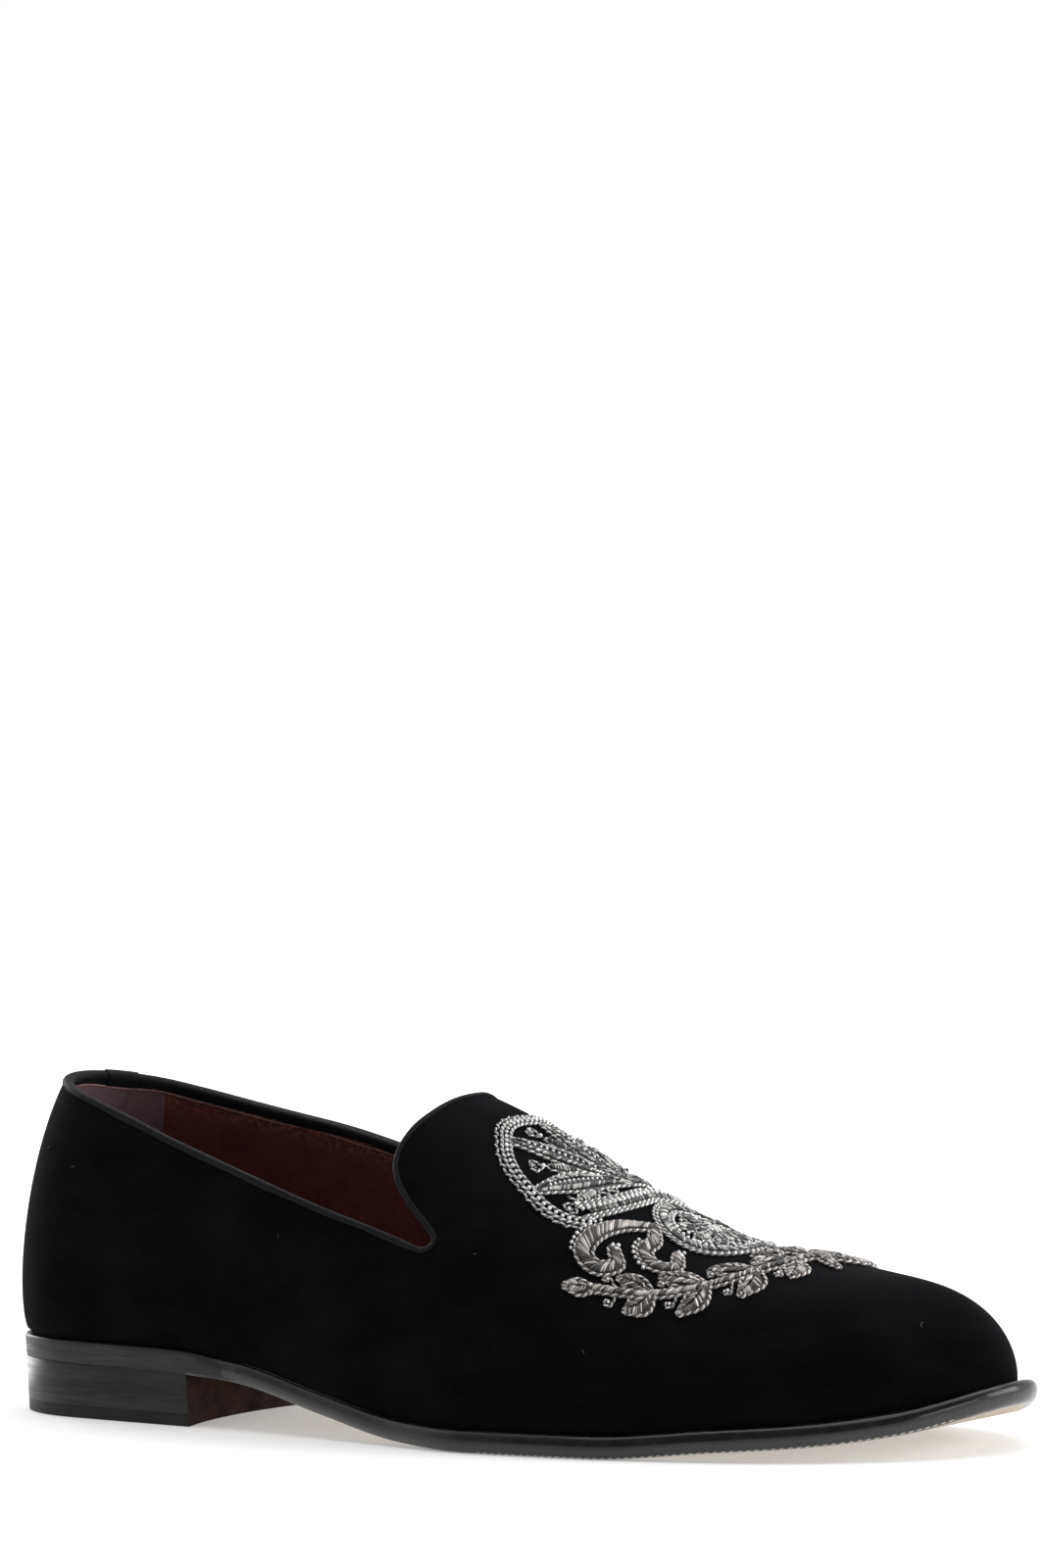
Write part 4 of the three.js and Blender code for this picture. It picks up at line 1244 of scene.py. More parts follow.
def sole_piece():
    """The outsole, hidden behind the rand at the heel and dark above its tabs."""
    steps = 900
    angle = np.arange(steps) / steps * TURN
    x = outline(angle)[:, 0]
    rows, tones = [], []
    for inset, part in EDGE_SECTION:
        bevel = waist_bevel(x, part)
        under_tab = smooth_step(tab_height(x) - 0.9, tab_height(x) - 1.2, part)
        hidden = smooth_step(RAND_END - EMERGING[0], RAND_END - EMERGING[1], x) * under_tab
        behind = (RAND_WIDTH + SEAT_GAP) * hidden + TAB_STEP * smooth_step(RAND_END + 3, RAND_END, x)
        rows.append(band_points(angle, inset * (1 - 0.9 * hidden) + behind + bevel, part))
        lip = smooth_step(LIP_HEIGHT + 0.35, LIP_HEIGHT - 0.35, part) * waist_share(x)
        worn = WORN_FOOT * smooth_step(BEVEL_HEIGHT, 1.8, part)
        tones.append(np.maximum(WORN_LIP * lip, worn) * (x > HEEL_LENGTH))
    rows = np.array(rows)
    mesh = Mesh().add(rows, grid_faces(len(rows), steps, around=True), tone=np.array(tones))
    half = np.linspace(0, np.pi, 240)
    deep_enough = EDGE_SECTION[0][0] - 0.3
    bottom = laid_across(half, deep_enough, 0.0)
    top = laid_across(half, deep_enough, SOLE_THICKNESS)
    mesh.add(bottom, grid_faces(*bottom.shape[:2], flip=True), slot=1)
    mesh.add(top, grid_faces(*top.shape[:2]), tone=1.0)
    return piece("outsole_leather", mesh, [EDGE, SOLE], ["outsole"])


# The sole's stitches: inset and height of their line, from where to where they show, and sizes
SOLE_STITCH_LINE = (1.12, 0.4)
SOLE_STITCH_SPAN = (176, 291)
SOLE_STITCH_LENGTH = 1.15
SOLE_STITCH_SLANT = 0.2
SOLE_STITCH_RADIUS = 0.15


def sole_stitches():
    """Pale stitches that show along the forefoot's lower edge."""
    line = band_points(np.mod(np.linspace(0, TURN, 4001), TURN), *SOLE_STITCH_LINE)
    lengths = walked(line)
    middles = np.arange(0, lengths[-1], STITCH_PITCH)
    x = np.interp(middles, lengths, line[:, 0])
    middles = middles[(x > SOLE_STITCH_SPAN[0]) & (x < SOLE_STITCH_SPAN[1])]
    steps = np.linspace(-0.5, 0.5, 5)
    paths = sampled(line, lengths, middles[:, None] + steps * SOLE_STITCH_LENGTH)
    paths[..., 2] += SOLE_STITCH_SLANT * steps
    ups = np.broadcast_to([0.0, 0, 1], paths.shape)
    points, faces = tubes(paths, ups, SOLE_STITCH_RADIUS, 6)
    return piece("sole_stitches", Mesh().add(points, faces), [LINEN])


# Heights of the lines scored round the rand's back
RAND_LINES = [2.3, 3.1]
LINE_SIZE = 0.1
LINES_FADE = (46, 8)
# The rand's section: inset from the outline, and height as a share of the rand's own
RAND_SECTION = [
    (3.1, 0.0), (1.2, 0.0), (0.24, 0.0), (0.2, 0.02), (0.15, 0.08), (0.1, 0.16), (0.07, 0.24),
    (0.05, 0.33), (0.04, 0.36), (0.04, 0.375), (0.04, 0.39), (0.03, 0.405), (0.02, 0.42),
    (0.0, 0.46), (0.0, 0.5), (0.0, 0.515), (0.0, 0.53), (0.0, 0.545), (0.0, 0.56), (0.0, 0.6),
    (-0.02, 0.72), (-0.02, 0.82), (0.0, 0.88), (0.08, 0.93), (0.22, 0.965), (0.42, 0.987),
    (0.7, 1.0), (1.5, 1.0),
]
RAND_FOOT_GROOVE = 0.16
LIP_HEIGHT = 0.75


def rand_piece():
    """The rand round the heel seat: flush with the heel, with thin lines that fade from the back."""
    columns = 420
    reach = np.arccos(1 - 2 * RAND_END / SOLE_LENGTH)
    spread = np.linspace(-1, 1, columns)
    angle = np.where(np.abs(spread) == 1, spread * reach, reach * np.sin(spread * np.pi / 2))
    ring_angle = np.mod(angle, TURN)
    x = outline(ring_angle)[:, 0]
    thin = smooth_step(RAND_END, RAND_END - EMERGING[0], x)
    sunk = 2 * TAB_STEP * (1 - thin)
    joined = smooth_step(HEEL_LENGTH + 1, RAND_END - EMERGING[0], x)
    fade = smooth_step(*LINES_FADE, x)
    lip = smooth_step(HEEL_LENGTH - 1, HEEL_LENGTH + 1.5, x)
    rows, tones = [], []
    for inset, share in RAND_SECTION:
        part = tab_height(x) * share
        line = sum(np.exp(-((part - at) / LINE_SIZE) ** 2) for at in RAND_LINES)
        foot = np.exp(-(part / RAND_FOOT_GROOVE) ** 2) * smooth_step(60, 20, x)
        groove = LINE_SIZE * fade * line + RAND_FOOT_GROOVE * foot
        own = inset + sunk * (inset < 1)
        edge_face = np.interp(part, column(EDGE_SECTION[1:], 1), column(EDGE_SECTION[1:], 0))
        tucked = own + np.maximum(edge_face + waist_bevel(x, part) + sunk - own, 0) * joined
        rows.append(band_points(ring_angle, tucked + groove, part))
        tones.append(lip * smooth_step(LIP_HEIGHT + 0.2, LIP_HEIGHT - 0.2, part) * (share > 0))
    rows = np.array(rows)
    mesh = Mesh().add(rows, grid_faces(len(rows), columns), tone=np.array(tones))
    return piece("heel_seat_rand_leather", mesh, [HEEL], ["heel_seat_rand"])


# Heel: a stack and its top piece, with a hollow breast

HEEL_INSET = 0.12 * SOLE_EDGE_ROUND


def heel_rim(inset):
    """The heel's outline in plan, without its breast."""
    steps = 200
    last_angle = np.arccos(1 - 2 * HEEL_LENGTH / SOLE_LENGTH)
    angle = np.linspace(last_angle, -last_angle, steps)
    rim = inset_outline(np.mod(angle, TURN), inset)
    rim[:, 0] = np.minimum(rim[:, 0], HEEL_LENGTH)
    return rim


def heel_points(flat, z):
    """Points of the heel's plan at a height, drawn in a little towards the floor."""
    pull = HEEL_TAPER * (1 - z / HEEL_HEIGHT) / (HEEL_WIDTH / 2)
    front = flat[..., 0] <= HEEL_LENGTH / 2
    x = flat[..., 0] + (HEEL_LENGTH / 2 - flat[..., 0]) * pull * front
    return np.stack([x, flat[..., 1] * (1 - pull), z], -1)


def heel_breast(inner, outer, steps=40):
    share = np.linspace(0, 1, steps)[:, None]
    flat = inner + (outer - inner) * share
    flat[:, 0] -= BREAST_HOLLOW * (1 - (2 * share[:, 0] - 1) ** 2)
    return flat


def heel_slice(name, low, high, rounds, materials, replaces):
    """One level of the heel between two heights at x, with its lower and upper edge rounded."""
    turn = np.linspace(0, np.pi / 2, 5)
    levels = [(low, rounds[0] * (1 - np.sin(a)), rounds[0] * (1 - np.cos(a))) for a in turn]
    levels += [
        (high, rounds[1] * (1 - np.sin(a)), -rounds[1] * (1 - np.cos(a))) for a in turn[::-1]]
    rim_rows, breast_rows = [], []
    for height, eased, step in levels:
        rim = heel_rim(HEEL_INSET + eased)
        breast = heel_breast(rim[-1], rim[0])
        rim_rows.append(heel_points(rim, height(rim[:, 0]) + step))
        breast_rows.append(heel_points(breast, height(breast[:, 0]) + step))
    rim_rows, breast_rows = np.array(rim_rows), np.array(breast_rows)
    mesh = Mesh()
    mesh.add(rim_rows, grid_faces(*rim_rows.shape[:2], flip=True), tone=0.0)
    mesh.add(breast_rows, grid_faces(*breast_rows.shape[:2], flip=True), slot=1)
    for level, way in ((0, 1), (-1, -1)):
        ring = np.concatenate([rim_rows[level], breast_rows[level][1:-1]])
        mesh.add(ring, np.arange(len(ring))[None, ::way], tone=0.0)
    return piece(name, mesh, materials, replaces)


def heel_stack():
    """The lifts, sanded and stained into one surface."""
    return heel_slice(
        "heel_stack_leather", lambda x: 0 * x + TOP_PIECE_THICKNESS + 0.02, underside,
        (0.06, 0.0), [HEEL, BREAST], [f"heel_lift_{n + 1}" for n in range(HEEL_LIFTS)])


def heel_top():
    return heel_slice(
        "heel_top_rubber", lambda x: 0 * x, lambda x: 0 * x + TOP_PIECE_THICKNESS - 0.02,
        (0.4, 0.08), [RUBBER, BREAST], ["heel_top_piece"])


# Embroidery: silvered thread laid on the vamp


class Vamp:
    """Places on the vamp, by the way across from the ridge and down from the motif's top."""

    def __init__(self):
        self.downs = np.linspace(-16, 96, 113)
        self.acrosses = np.linspace(0, 62, 125)
        share = (MOTIF_START + self.downs * UNIT_DOWN) / SOLE_LENGTH
        bases = np.linspace(0.3, 1, 2001)
        base_share = np.interp(share, RIDGE_AT(bases), bases)
        fine = np.linspace(0, np.pi, 4001)
        climbs = np.linspace(1, 0, 241)
        self.angles, self.climbs = [], []
        for side in (-1, 1):
            walk = fine if side < 0 else TURN - fine
            base_x = inset_outline(walk, MARGIN)[:, 0]
            angle = np.interp(base_share * SOLE_LENGTH, base_x, fine)
            angle = angle if side < 0 else TURN - angle
            ribs = last_point(angle[:, None], climbs[None, :])
            table = [np.interp(self.acrosses, walked(rib), climbs) for rib in ribs]
            self.angles.append(angle)
            self.climbs.append(np.array(table))

    def at(self, places, lift):
        """Points and normals at flat places (across, down), lifted off the last."""
        places = np.asarray(places, float)
        flat = places.reshape(-1, 2)
        angle = np.empty(len(flat))
        climb = np.empty(len(flat))
        for number, on_side in enumerate((flat[:, 0] < 0, flat[:, 0] >= 0)):
            across = np.abs(flat[on_side, 0]) * UNIT_ACROSS
            down = np.clip(flat[on_side, 1], self.downs[0], self.downs[-1])
            angle[on_side] = np.interp(down, self.downs, self.angles[number])
            row = (down - self.downs[0]) / (self.downs[1] - self.downs[0])
            col = np.clip(across / self.acrosses[1], 0, len(self.acrosses) - 1.001)
            r = np.clip(row.astype(int), 0, len(self.downs) - 2)
            c = col.astype(int)
            u, v = row - r, col - c
            table = self.climbs[number]
            near = table[r, c] * (1 - v) + table[r, c + 1] * v
            far = table[r + 1, c] * (1 - v) + table[r + 1, c + 1] * v
            climb[on_side] = near * (1 - u) + far * u
        out = last_normal(angle, climb)
        lifts = np.broadcast_to(lift, places.shape[:-1]).reshape(-1, 1)
        points = last_point(angle, climb) + out * lifts
        return points.reshape(*places.shape[:-1], 3), out.reshape(*places.shape[:-1], 3)


VAMP = Vamp()
# Threads, twisted cords and beads
THREAD_PITCH = 0.66
THREAD_RADIUS = 0.265
CORD_TWIST = 2.0
CORD_PLY = 0.3
CORD_LAY = 0.25
BEAD_PITCH = 1.8
BEAD_RADIUS = 0.6
# How far a leaf's threads reach: from beside its vein to short of the cord round it
VEIN, HEM = 0.14, 0.73
OPEN_VEIN = 0.4
# How high off the last the middles of threads, cords and padding lie before their own lift
THREAD_BED = THREAD_GAP - 0.3
CORD_BED = THREAD_GAP - 0.35
PADDING_BED = THREAD_GAP - 0.6
# The share of clean threads, and the tones of clean and of tarnished ones
CLEAN_SHARE = 0.47
CLEAN_TONES = (0.32, 1.0)
TARNISHED_TONES = (0, 0.1)
# Where each ply starts on its way round the cord, and how bright it is
PLY_ROWS = [(0, 1.4), (np.pi, 0.15)]
tones = np.random.default_rng(11)


def sideways(points):
    """Directions along a flat line and to its left."""
    ahead = along_line(points)
    return ahead, np.stack([-ahead[:, 1], ahead[:, 0]], -1)


def stroke_line(points, pitch):
    """A stroke's line with even steps, and how far along its spline each step lies."""
    per = 40
    line = spline(points, per)
    lengths = walked(line)
    count = max(int(lengths[-1] / pitch), 3)
    at = np.linspace(0, lengths[-1], count + 1)
    return sampled(line, lengths, at), np.interp(at, lengths, np.linspace(0, 1, len(line)))


def half_width(widths, at):
    """A stroke's half width at shares along it, from the ones at its start, middle and end."""
    return monotone([0, 0.5, 1], widths)(at)


def crown(across):
    """How high the padding stands, as a share, from edge (-1) to edge (1)."""
    return np.sqrt(np.maximum(1 - np.abs(across) ** 2.2, 0))


def patchy(count, bright):
    """How bright each of a row of threads is: some clean, some tarnished, in stretches."""
    wave = 0.2 * np.sin(np.arange(count) * tones.uniform(0.25, 0.45) + tones.uniform(0, TURN))
    clean = tones.uniform(size=count) < CLEAN_SHARE + wave
    return bright * np.where(
        clean, tones.uniform(*CLEAN_TONES, count), tones.uniform(*TARNISHED_TONES, count))


def threads_across(mesh, line, half, lean, spans, bright=1.0):
    """Threads laid side by side along a line, from one share of its half width to another."""
    ahead, left = sideways(line)
    low, high = spans
    share = np.linspace(low, high, 8 if high - low > 1.4 else 6)
    places = (line[:, None] + left[:, None] * half[:, None, None] * share[:, None]
              + ahead[:, None] * half[:, None, None] * lean * share[:, None])
    uneven = 0.08 * tones.normal(size=len(line))[:, None]
    points, out = VAMP.at(places, THREAD_BED + THREAD_LIFT * crown(share) + uneven)
    radius = THREAD_RADIUS * tones.uniform(0.8, 1.12, len(line))[:, None]
    tube, faces = tubes(points, out, np.broadcast_to(radius, points.shape[:2]), 5)
    mesh.add(tube, faces, tone=np.repeat(patchy(len(line), bright), len(share) * 5))


def padding(mesh, line, half):
    """The dark padding under a stroke's threads."""
    share = np.linspace(-1, 1, 9)
    _, left = sideways(line)
    places = line[:, None] + left[:, None] * half[:, None, None] * share[:, None] * 0.9
    lift = PADDING_BED + (THREAD_LIFT - 0.15) * crown(share)
    points, _ = VAMP.at(places, np.broadcast_to(lift, places.shape[:2]))
    rows, columns = points.shape[:2]
    mesh.add(points, grid_faces(rows, columns, flip=True), tone=0.0)


def twisted_cord(mesh, line, lift=0.3, ply=CORD_PLY, bright=1.0, closed=False):
    """A cord of two twisted plies along a flat line."""
    step = 0.36
    count = max(int(walked(line)[-1] / step), 4)
    even = resampled(line, count + 1)
    points, out = VAMP.at(even[:-1] if closed else even, CORD_BED + lift)
    side = unit(np.cross(along_line(points, closed=closed), out))
    turns = max(round(walked(points)[-1] / CORD_TWIST), 1)
    phase = np.linspace(0, turns * TURN, len(points), endpoint=not closed)
    for start, share in PLY_ROWS:
        swing = np.cos(phase + start)[:, None] * side + np.sin(phase + start)[:, None] * out
        path = points + swing * CORD_LAY
        tube, faces = tubes(path[None], out[None], ply, 5, closed)
        shade = np.clip(bright * share * (0.7 + 0.12 * tones.normal(size=len(path))), 0.05, 1)
        mesh.add(tube, faces, tone=np.repeat(shade, 5))


def bead_shape():
    """A small round bead as rings, about its own centre."""
    rings, sides = 5, 8
    lift = np.linspace(-1, 1, rings + 2)[1:-1] * np.pi / 2
    turn = np.arange(sides) / sides * TURN
    body = np.stack([
        np.cos(lift)[:, None] * np.cos(turn), np.cos(lift)[:, None] * np.sin(turn),
        np.broadcast_to(np.sin(lift)[:, None], (rings, sides))], -1).reshape(-1, 3)
    poles = np.array([[0, 0, -1.0], [0, 0, 1.0]])
    top = (rings - 1) * sides
    fan = [[(i + 1) % sides, rings * sides, i] for i in range(sides)]
    cap = [[top + i, top + (i + 1) % sides, rings * sides + 1] for i in range(sides)]
    faces = [grid_faces(rings, sides, around=True), np.array(fan), np.array(cap)]
    return np.vstack([body, poles]), faces


def beads_at(mesh, places, radius=BEAD_RADIUS, lift=0.5):
    """Beads sewn on at flat places."""
    shape, faces = bead_shape()
    for centre in VAMP.at(places, CORD_BED + lift)[0]:
        size = radius * tones.uniform(0.86, 1.08)
        mesh.add(centre + shape * size, faces, tone=tones.uniform(0.72, 1), slot=1)


def beads(mesh, line, pitch=BEAD_PITCH, radius=BEAD_RADIUS, lift=0.5):
    """Beads sewn in a row along a flat line."""
    count = max(int(walked(line)[-1] / pitch), 1)
    even = resampled(line, count + 1)
    beads_at(mesh, (even[1:] + even[:-1]) / 2, radius, lift)


def round_end(end, before, reach):
    """Places on a half circle round the end of a flat line."""
    ahead = unit(end - before)
    side = np.array([-ahead[1], ahead[0]])
    turn = np.linspace(0, np.pi, 7)[1:-1, None]
    return end + reach * (side * np.cos(turn) + ahead * np.sin(turn))


def outlined(line, half, past=0.25):
    """The closed flat line round a stroke, just past its edges."""
    _, left = sideways(line)
    reach = half + past
    ring = np.vstack([
        line + left * reach[:, None], round_end(line[-1], line[-2], reach[-1]),
        (line - left * reach[:, None])[::-1], round_end(line[0], line[1], reach[0])])
    return np.vstack([ring, ring[:1]])


def satin(mesh, points, widths, lean=0.5, vein=0.0, cord=True, bright=1.0):
    """A padded stroke in satin stitch: veined down its middle like a leaf, or laid right across."""
    line, at = stroke_line(points, THREAD_PITCH)
    half = half_width(widths, at)
    padding(mesh, line, half)
    hem = HEM if cord else 1.0
    if vein:
        for side in (-1, 1):
            threads_across(mesh, line, half * side, side, (vein, hem), bright)
    else:
        threads_across(mesh, line, half, lean, (-hem, hem), bright)
    if cord:
        twisted_cord(mesh, outlined(line, half), closed=True, bright=bright)


def around(centre, degrees, distance):
    """A flat place at a distance from a centre, turned from straight up the foot."""
    angle = np.radians(degrees)
    return np.stack([centre[0] + np.sin(angle) * distance,
                     centre[1] - np.cos(angle) * distance], -1)


def petal_points(centre, degrees, start, reach):
    return [around(centre, degrees, d) for d in (start, (start + reach) / 2, reach)]


ARCH_REACH = [
    (-98, 24.2), (-84, 27.3), (-66, 29.2), (-33, 29.5), (0, 25.8), (33, 29.5), (66, 29.2), (84, 27.3),
    (98, 24.2),
]
# What runs round the palmette: distance past its petals, and what it is
ARCH_ROWS = [(0.5, "cord"), (1.65, "beads"), (2.8, "cord"), (3.7, "picots")]
# Lift and ply of the arch's cords
ARCH_CORDS = {"cord": (0.35, CORD_PLY), "picots": (0.15, 0.2)}
SPRIG_ANGLES = [-83, -49.5, -16.5, 16.5, 49.5, 83]
DART_WIDTHS = (0.3, 0.9, 0.3)


def sprig(mesh, degrees):
    """A dart between two petals, with a curl to each side and beads beyond it."""
    points = petal_points(PALMETTE_CENTRE, degrees, 14, 21)
    satin(mesh, points, DART_WIDTHS, cord=False)
    line, at = stroke_line(points, 0.5)
    loop = outlined(line, half_width(DART_WIDTHS, at), 0.75)
    twisted_cord(mesh, loop, 0.15, 0.2, closed=True)
    beads_at(mesh, [around(PALMETTE_CENTRE, degrees, 23.2)], 0.6)
    stalk = np.array(petal_points(PALMETTE_CENTRE, degrees, 20, 26))
    for way in (-1, 1):
        curl = tendril_line(stalk, 0.5, way * 38, 2.6)
        twisted_cord(mesh, curl, 0.15, 0.18)
    beads_at(mesh, [around(PALMETTE_CENTRE, degrees, 26.3)], 0.5)


def palmette():
    """The palmette: open petals with sprigs between them, under a beaded arch with picots."""
    mesh = Mesh()
    for degrees, reach in PALMETTE_PETALS:
        points = petal_points(PALMETTE_CENTRE, degrees, PALMETTE_FROM, reach)
        satin(mesh, points, PALMETTE_WIDTHS, vein=OPEN_VEIN)
        vein = np.array(petal_points(PALMETTE_CENTRE, degrees, 8, reach - 3))
        beads(mesh, vein, 1.5, 0.42, THREAD_LIFT + 0.1)
    for degrees in SPRIG_ANGLES:
        sprig(mesh, degrees)
    degrees = np.linspace(ARCH_REACH[0][0], ARCH_REACH[-1][0], 360)
    spread = curve_of(ARCH_REACH, 1)(degrees)
    scallop = 0.8 * np.abs(np.sin(np.radians(degrees) * 5.5))
    for past, kind in ARCH_ROWS:
        distance = spread + past + scallop
        if kind == "picots":
            distance = distance + 0.7 * np.abs(np.sin(np.radians(degrees) * 36))
        line = around(PALMETTE_CENTRE, degrees, distance)
        if kind == "beads":
            beads(mesh, line)
        else:
            twisted_cord(mesh, line, *ARCH_CORDS[kind])
    return piece("palmette_threads", mesh, [SILVER, BRIGHT], ["emb_palmette"])


def arc_line(centre, radius, start, end, steps=90):
    return around(centre, np.linspace(start, end, steps), radius)


BAND_WIDEN = 3
BAND_CORDS = (-2.75, -1.8, 1.8, 2.75)
ZIGZAG_PAST = 4.6
ZIGZAG_RISE = 1.1
ZIGZAG_PITCH = 3.3


def base_cord():
    """The band under the palmette: a beaded satin band between cords, and a zigzag above it."""
    mesh = Mesh()
    low, high = CORD_SPAN[0] - BAND_WIDEN, CORD_SPAN[1] + BAND_WIDEN
    for step in BAND_CORDS:
        twisted_cord(mesh, arc_line(CORD_CENTRE, CORD_RADIUS + step, low, high), 0.4)
    satin(mesh, arc_line(CORD_CENTRE, CORD_RADIUS, *CORD_SPAN, 9), (CORD_HALF,) * 3, cord=False,
          bright=0.7)
    beads(mesh, arc_line(CORD_CENTRE, CORD_RADIUS, low, high), 1.7, 0.62, THREAD_LIFT + 0.25)
    for start, end in ((low, 172), (188, high)):
        turns = int(np.radians(end - start) * CORD_RADIUS / ZIGZAG_PITCH) * 2
        degrees = np.linspace(start, end, turns + 1)
        rise = np.where(np.arange(turns + 1) % 2, ZIGZAG_RISE, -ZIGZAG_RISE)
        line = around(CORD_CENTRE, degrees, CORD_RADIUS - ZIGZAG_PAST + rise)
        twisted_cord(mesh, line, 0.2, 0.24)
    return piece("cord_threads", mesh, [SILVER, BRIGHT], ["emb_cord"])


def rosette():
    """A rosette of veined petals, with a beaded heart and a bead between each two petals."""
    mesh = Mesh()
    step = 360 / ROSETTE_PETALS
    for number in range(ROSETTE_PETALS):
        points = petal_points(ROSETTE_CENTRE, number * step, ROSETTE_FROM, ROSETTE_REACH)
        satin(mesh, points, ROSETTE_WIDTHS, vein=VEIN)
        beads_at(mesh, [around(ROSETTE_CENTRE, (number + 0.5) * step, 8.6)], 0.55)
    beads(mesh, arc_line(ROSETTE_CENTRE, 1.5, 0, 360, 20), 1.5, 0.6, THREAD_LIFT + 0.3)
    beads_at(mesh, [ROSETTE_CENTRE], 0.7, THREAD_LIFT + 0.5)
    return piece("rosette_threads", mesh, [SILVER, BRIGHT], ["emb_rosette"])


def ring():
    """The ring round the rosette: a satin band between cords, with beads inside it."""
    mesh = Mesh()
    circle = arc_line(ROSETTE_CENTRE, RING_RADIUS, 0, 360, 241)
    line = resampled(circle, int(TURN * RING_RADIUS / THREAD_PITCH))
    half = np.full(len(line), RING_HALF)
    padding(mesh, line, half)
    threads_across(mesh, line, half, 0.7, (-HEM, HEM))
    edge = RING_HALF + 0.25
    for step, ply in ((-edge, CORD_PLY), (edge, CORD_PLY), (edge + 0.95, 0.24)):
        circle = arc_line(ROSETTE_CENTRE, RING_RADIUS + step, 0, 360, 241)
        twisted_cord(mesh, circle, ply=ply, closed=True)
    beads(mesh, arc_line(ROSETTE_CENTRE, RING_RADIUS - RING_HALF - 1.2, 0, 360, 241), 1.7, 0.56)
    return piece("ring_threads", mesh, [SILVER, BRIGHT], ["emb_ring"])


def scroll(side, name, node):
    """A branched scroll in slanting satin stitch, with beads along its outer curves."""
    mesh = Mesh()
    for points, widths in SCROLL_ROWS:
        points = [(across * side, down) for across, down in points]
        satin(mesh, points, widths, lean=0.9 * side)
        line, at = stroke_line(points, 0.5)
        _, left = sideways(line)
        reach = half_width(widths, at) + 1.25
        inner = line - left * (reach * side)[:, None]
        start, end = int(0.3 * len(inner)), int(0.62 * len(inner))
        beads(mesh, inner[start:end], radius=0.5)
        eye = line[-1] + along_line(line)[-1] * 1.9
        beads_at(mesh, [eye, eye + (0.9 * side, 1.1), eye + (-0.8 * side, 1.2)], 0.6)
    return piece(name, mesh, [WARM, BRIGHT], [node])


def turned(direction, degrees):
    c, s = np.cos(np.radians(degrees)), np.sin(np.radians(degrees))
    x, y = direction
    return np.array([c * x - s * y, s * x + c * y])


def on_stem(line, at):
    """The place at a share along a stem, and the stem's direction there."""
    index = int(round(at * (len(line) - 1)))
    return line[index], along_line(line)[index]


def leaf_points(line, at, turn, length):
    """A leaf's places: it leaves the stem at a share along it and bends forward."""
    start, ahead = on_stem(line, at)
    middle = start + turned(ahead, turn) * length * 0.55
    return [start, middle, middle + turned(ahead, turn * 0.55) * length * 0.5]


END_LEAF = (0, 3.5, 7)
END_LEAF_WIDTHS = (0.8, 2.1, 0.6)
# Where each tendril leaves the stem, the way it turns from it and its length
TENDRIL_ROWS = [(0.27, 62, 5.4), (0.47, 60, 5.8), (0.67, 58, 5.0), (0.9, 66, 4.2)]
TENDRIL_TURN = 330
TENDRIL_CURL = 1.25


def tendril_line(line, at, turn, length):
    """A thin tendril that leaves the stem and curls up at its end."""
    start, ahead = on_stem(line, at)
    way = np.sign(turn)
    straight = turned(ahead, turn)
    end = start + straight * length
    centre = end - turned(straight, 90 * way) * TENDRIL_CURL
    angles = np.linspace(0, -TENDRIL_TURN * way, 26)
    sizes = np.linspace(1, 0.3, 26)
    curl = [centre + turned(end - centre, a) * s for a, s in zip(angles, sizes)]
    return np.vstack([start, (start + end) / 2, curl])


def sprays():
    """Two leafy sprays tied together under three drops, with tendrils and beads between leaves."""
    mesh = Mesh()
    for side in (-1, 1):
        stem = [(across * side, down) for across, down in SPRAY_STEM]
        fine = spline(stem, 40)
        satin(mesh, stem, STEM_WIDTHS, lean=0.9 * side)
        for along, turn, length in LEAF_ROWS:
            for way in (-1, 1):
                satin(mesh, leaf_points(fine, along, way * turn, length), LEAF_WIDTHS, vein=VEIN)
        for along, turn, length in TENDRIL_ROWS:
            for way in (-1, 1):
                curl = tendril_line(fine, along, way * turn, length)
                twisted_cord(mesh, curl, 0.15, 0.2)
                beads_at(mesh, [curl[-1]], 0.5)
        tip = along_line(fine)[-1]
        satin(mesh, [fine[-1] + tip * reach for reach in END_LEAF], END_LEAF_WIDTHS, vein=VEIN)
    for points, widths in TIE_ROWS:
        satin(mesh, points, widths, lean=0.4, vein=VEIN * (widths[1] > 1.75))
    return piece("spray_threads", mesh, [WARM, BRIGHT], ["emb_sprays"])


# Lint: how many fibres, and how thick
LINT_COUNT = 14
LINT_RADIUS = 0.05


def lint():
    """A few short fibres caught in the velvet's pile."""
    draw = np.random.default_rng(4)
    mesh = Mesh()
    for _ in range(LINT_COUNT):
        angle = draw.uniform(0.25, 2.9) if draw.uniform() < 0.6 else draw.uniform(3.4, 6.0)
        climb = draw.uniform(0.12, 0.5)
        turns = np.cumsum(draw.normal(0, 0.5, 6))
        step = draw.uniform(0.15, 0.4)
        middle = last_point(angle, climb)
        if below_collar(middle[None])[0] < 6:
            continue
        out = last_normal(angle, climb)
        side = unit(np.cross(out, [0.0, 0, 1]))
        up = np.cross(out, side)
        moves = np.cos(turns)[:, None] * side + np.sin(turns)[:, None] * up
        path = middle + np.cumsum(moves * step, axis=0) + out * 0.12
        points, faces = tubes(path[None], np.broadcast_to(out, path.shape)[None], LINT_RADIUS, 4)
        mesh.add(points, faces)
    return piece("lint", mesh, [LINT])


# Stage: floor, lights and camera

# How much the floor glows under the shoe, and further off
FLOOR_GLOW = 0.3
FAR_GLOW = 0.7


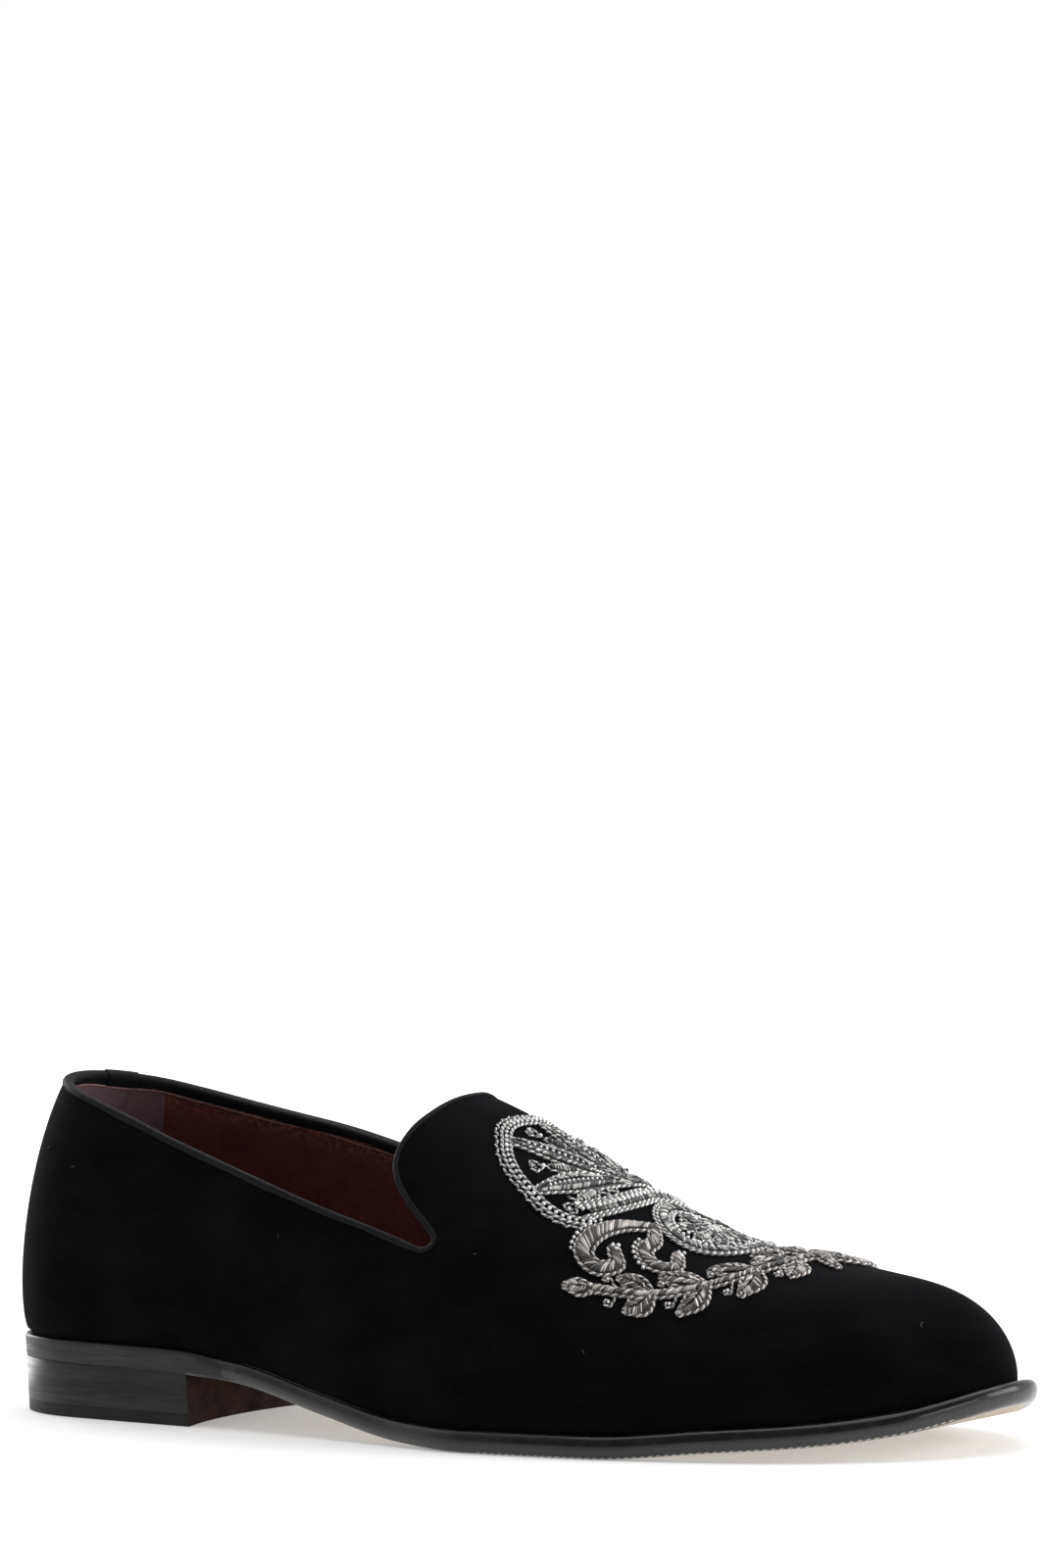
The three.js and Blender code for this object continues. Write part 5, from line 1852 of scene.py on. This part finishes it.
def stage():
    """A white floor, wide enough to reach out of sight, that glows like a light table."""
    radius, sides = 9.0, 64
    turn = np.arange(sides) / sides * TURN
    data = bpy.data.meshes.new("floor")
    ring = np.stack([np.cos(turn), np.sin(turn), 0 * turn], -1) * radius
    data.from_pydata(ring.tolist(), [], [list(range(sides))])
    floor = bpy.data.objects.new("floor", data)
    bpy.context.scene.collection.objects.link(floor)
    look = Look("floor_white", (0.85, 0.85, 0.85), 0.6, Specular_IOR_Level=0.1,
                Emission_Color=(1.0, 1.0, 1.0))
    look.colour(look.mixed(look.noise(60, 3), (0.84, 0.84, 0.84), (0.86, 0.86, 0.86)))
    away = look.node("ShaderNodeVectorMath", {0: look.place()}, operation="LENGTH").outputs["Value"]
    glow = look.ranged(away, 0.35, 1.5, FLOOR_GLOW, FAR_GLOW)
    look.tree.links.new(glow, look.shader.inputs["Emission Strength"])
    floor.data.materials.append(look.material)


# The camera as the photograph's: place in the shoe's own frame, angles in degrees, focal length
# in pixels of the photograph's frame.
CAMERA_PLACE = (1147.83, -1409.06, 198.01)
CAMERA_YAW = 35.053
CAMERA_PITCH = 1.151
CAMERA_ROLL = -1.483
FOCAL_PIXELS = 6934.9
PHOTO_SIZE = (1067, 1600)
SENSOR = 36


def camera():
    data = bpy.data.cameras.new("camera")
    data.sensor_width = SENSOR
    data.lens = FOCAL_PIXELS / max(PHOTO_SIZE) * SENSOR
    data.clip_start, data.clip_end = 0.05, 30
    made = bpy.data.objects.new("camera", data)
    yaw, pitch, roll = map(math.radians, (CAMERA_YAW, CAMERA_PITCH, CAMERA_ROLL))
    ahead = math.cos(pitch)
    back = Vector((math.sin(yaw) * ahead, -math.cos(yaw) * ahead, math.sin(pitch)))
    level = Vector((math.cos(yaw), math.sin(yaw), 0))
    up = back.cross(level)
    right = math.cos(roll) * level + math.sin(roll) * up
    over = math.cos(roll) * up - math.sin(roll) * level
    turned = Matrix((right, over, back)).transposed().to_4x4()
    made.matrix_world = Matrix.Translation(Vector(placed(CAMERA_PLACE))) @ turned
    bpy.context.scene.collection.objects.link(made)
    bpy.context.scene.camera = made


def soft_light(name, place, target, size, power):
    """A white softbox at a place, aimed at a target, both in metres."""
    data = bpy.data.lights.new(name, "AREA")
    data.shape = "RECTANGLE"
    data.size, data.size_y = size
    data.energy = power
    made = bpy.data.objects.new(name, data)
    made.location = place
    aim = Vector(target) - Vector(place)
    made.rotation_mode = "QUATERNION"
    made.rotation_quaternion = aim.to_track_quat("-Z", "Y")
    bpy.context.scene.collection.objects.link(made)


# How bright the white room is, and how dark it falls off in front of the shoe
ROOM = 1.0
DARK_FRONT = 0.22
FALL_SPAN = (-0.35, 0.6)


def surround():
    """A white room that is darker in front of the shoe, as a studio is behind its camera."""
    world = bpy.data.worlds.new("studio")
    world.use_nodes = True
    tree = world.node_tree
    yaw = math.radians(CAMERA_YAW)
    toward = (math.sin(yaw), -math.cos(yaw), 0.35)
    place = tree.nodes.new("ShaderNodeTexCoord")
    facing = tree.nodes.new("ShaderNodeVectorMath")
    facing.operation = "DOT_PRODUCT"
    facing.inputs[1].default_value = Vector(toward).normalized()
    tree.links.new(place.outputs["Generated"], facing.inputs[0])
    falloff = tree.nodes.new("ShaderNodeMapRange")
    falloff.interpolation_type = "SMOOTHSTEP"
    for number, value in enumerate((*FALL_SPAN, ROOM, DARK_FRONT), 1):
        falloff.inputs[number].default_value = value
    tree.links.new(facing.outputs["Value"], falloff.inputs["Value"])
    background = tree.nodes["Background"]
    background.inputs["Color"].default_value = (1, 1, 1, 1)
    tree.links.new(falloff.outputs["Result"], background.inputs["Strength"])
    bpy.context.scene.world = world


# A big box over the shoe, and boxes that shine along its edges: name, place, target, size, power
LIGHT_ROWS = [
    ("top_box", (0.1, 0.3, 2.4), (0, 0, 0), (2.6, 2.6), 40),
    ("toe_box", (1.93, 0.85, 0.6), (0.12, 0, 0.02), (1.5, 1.1), 30),
    ("heel_box", (-1.7, 0.8, 0.6), (-0.1, 0, 0.03), (0.6, 1.2), 12),
    ("edge_box", (2.2, -0.62, 0.3), (0.12, -0.03, 0.01), (0.95, 0.4), 6),
]


def build():
    path = CollarPath()
    velvet_upper()
    upper_lining()
    heel_pocket()
    collar_ribbon(path)
    ribbon_overlap(path)
    lining_piping(path)
    lining_stitches(path)
    sock()
    sole_piece()
    sole_stitches()
    rand_piece()
    heel_stack()
    heel_top()
    palmette()
    base_cord()
    rosette()
    ring()
    scroll(-1, "scroll_threads_outer", "emb_scroll_outer")
    scroll(1, "scroll_threads_inner", "emb_scroll_inner")
    sprays()
    lint()


build()
stage()
camera()
surround()
for row in LIGHT_ROWS:
    soft_light(*row)
bpy.context.scene.view_settings.view_transform = "Standard"
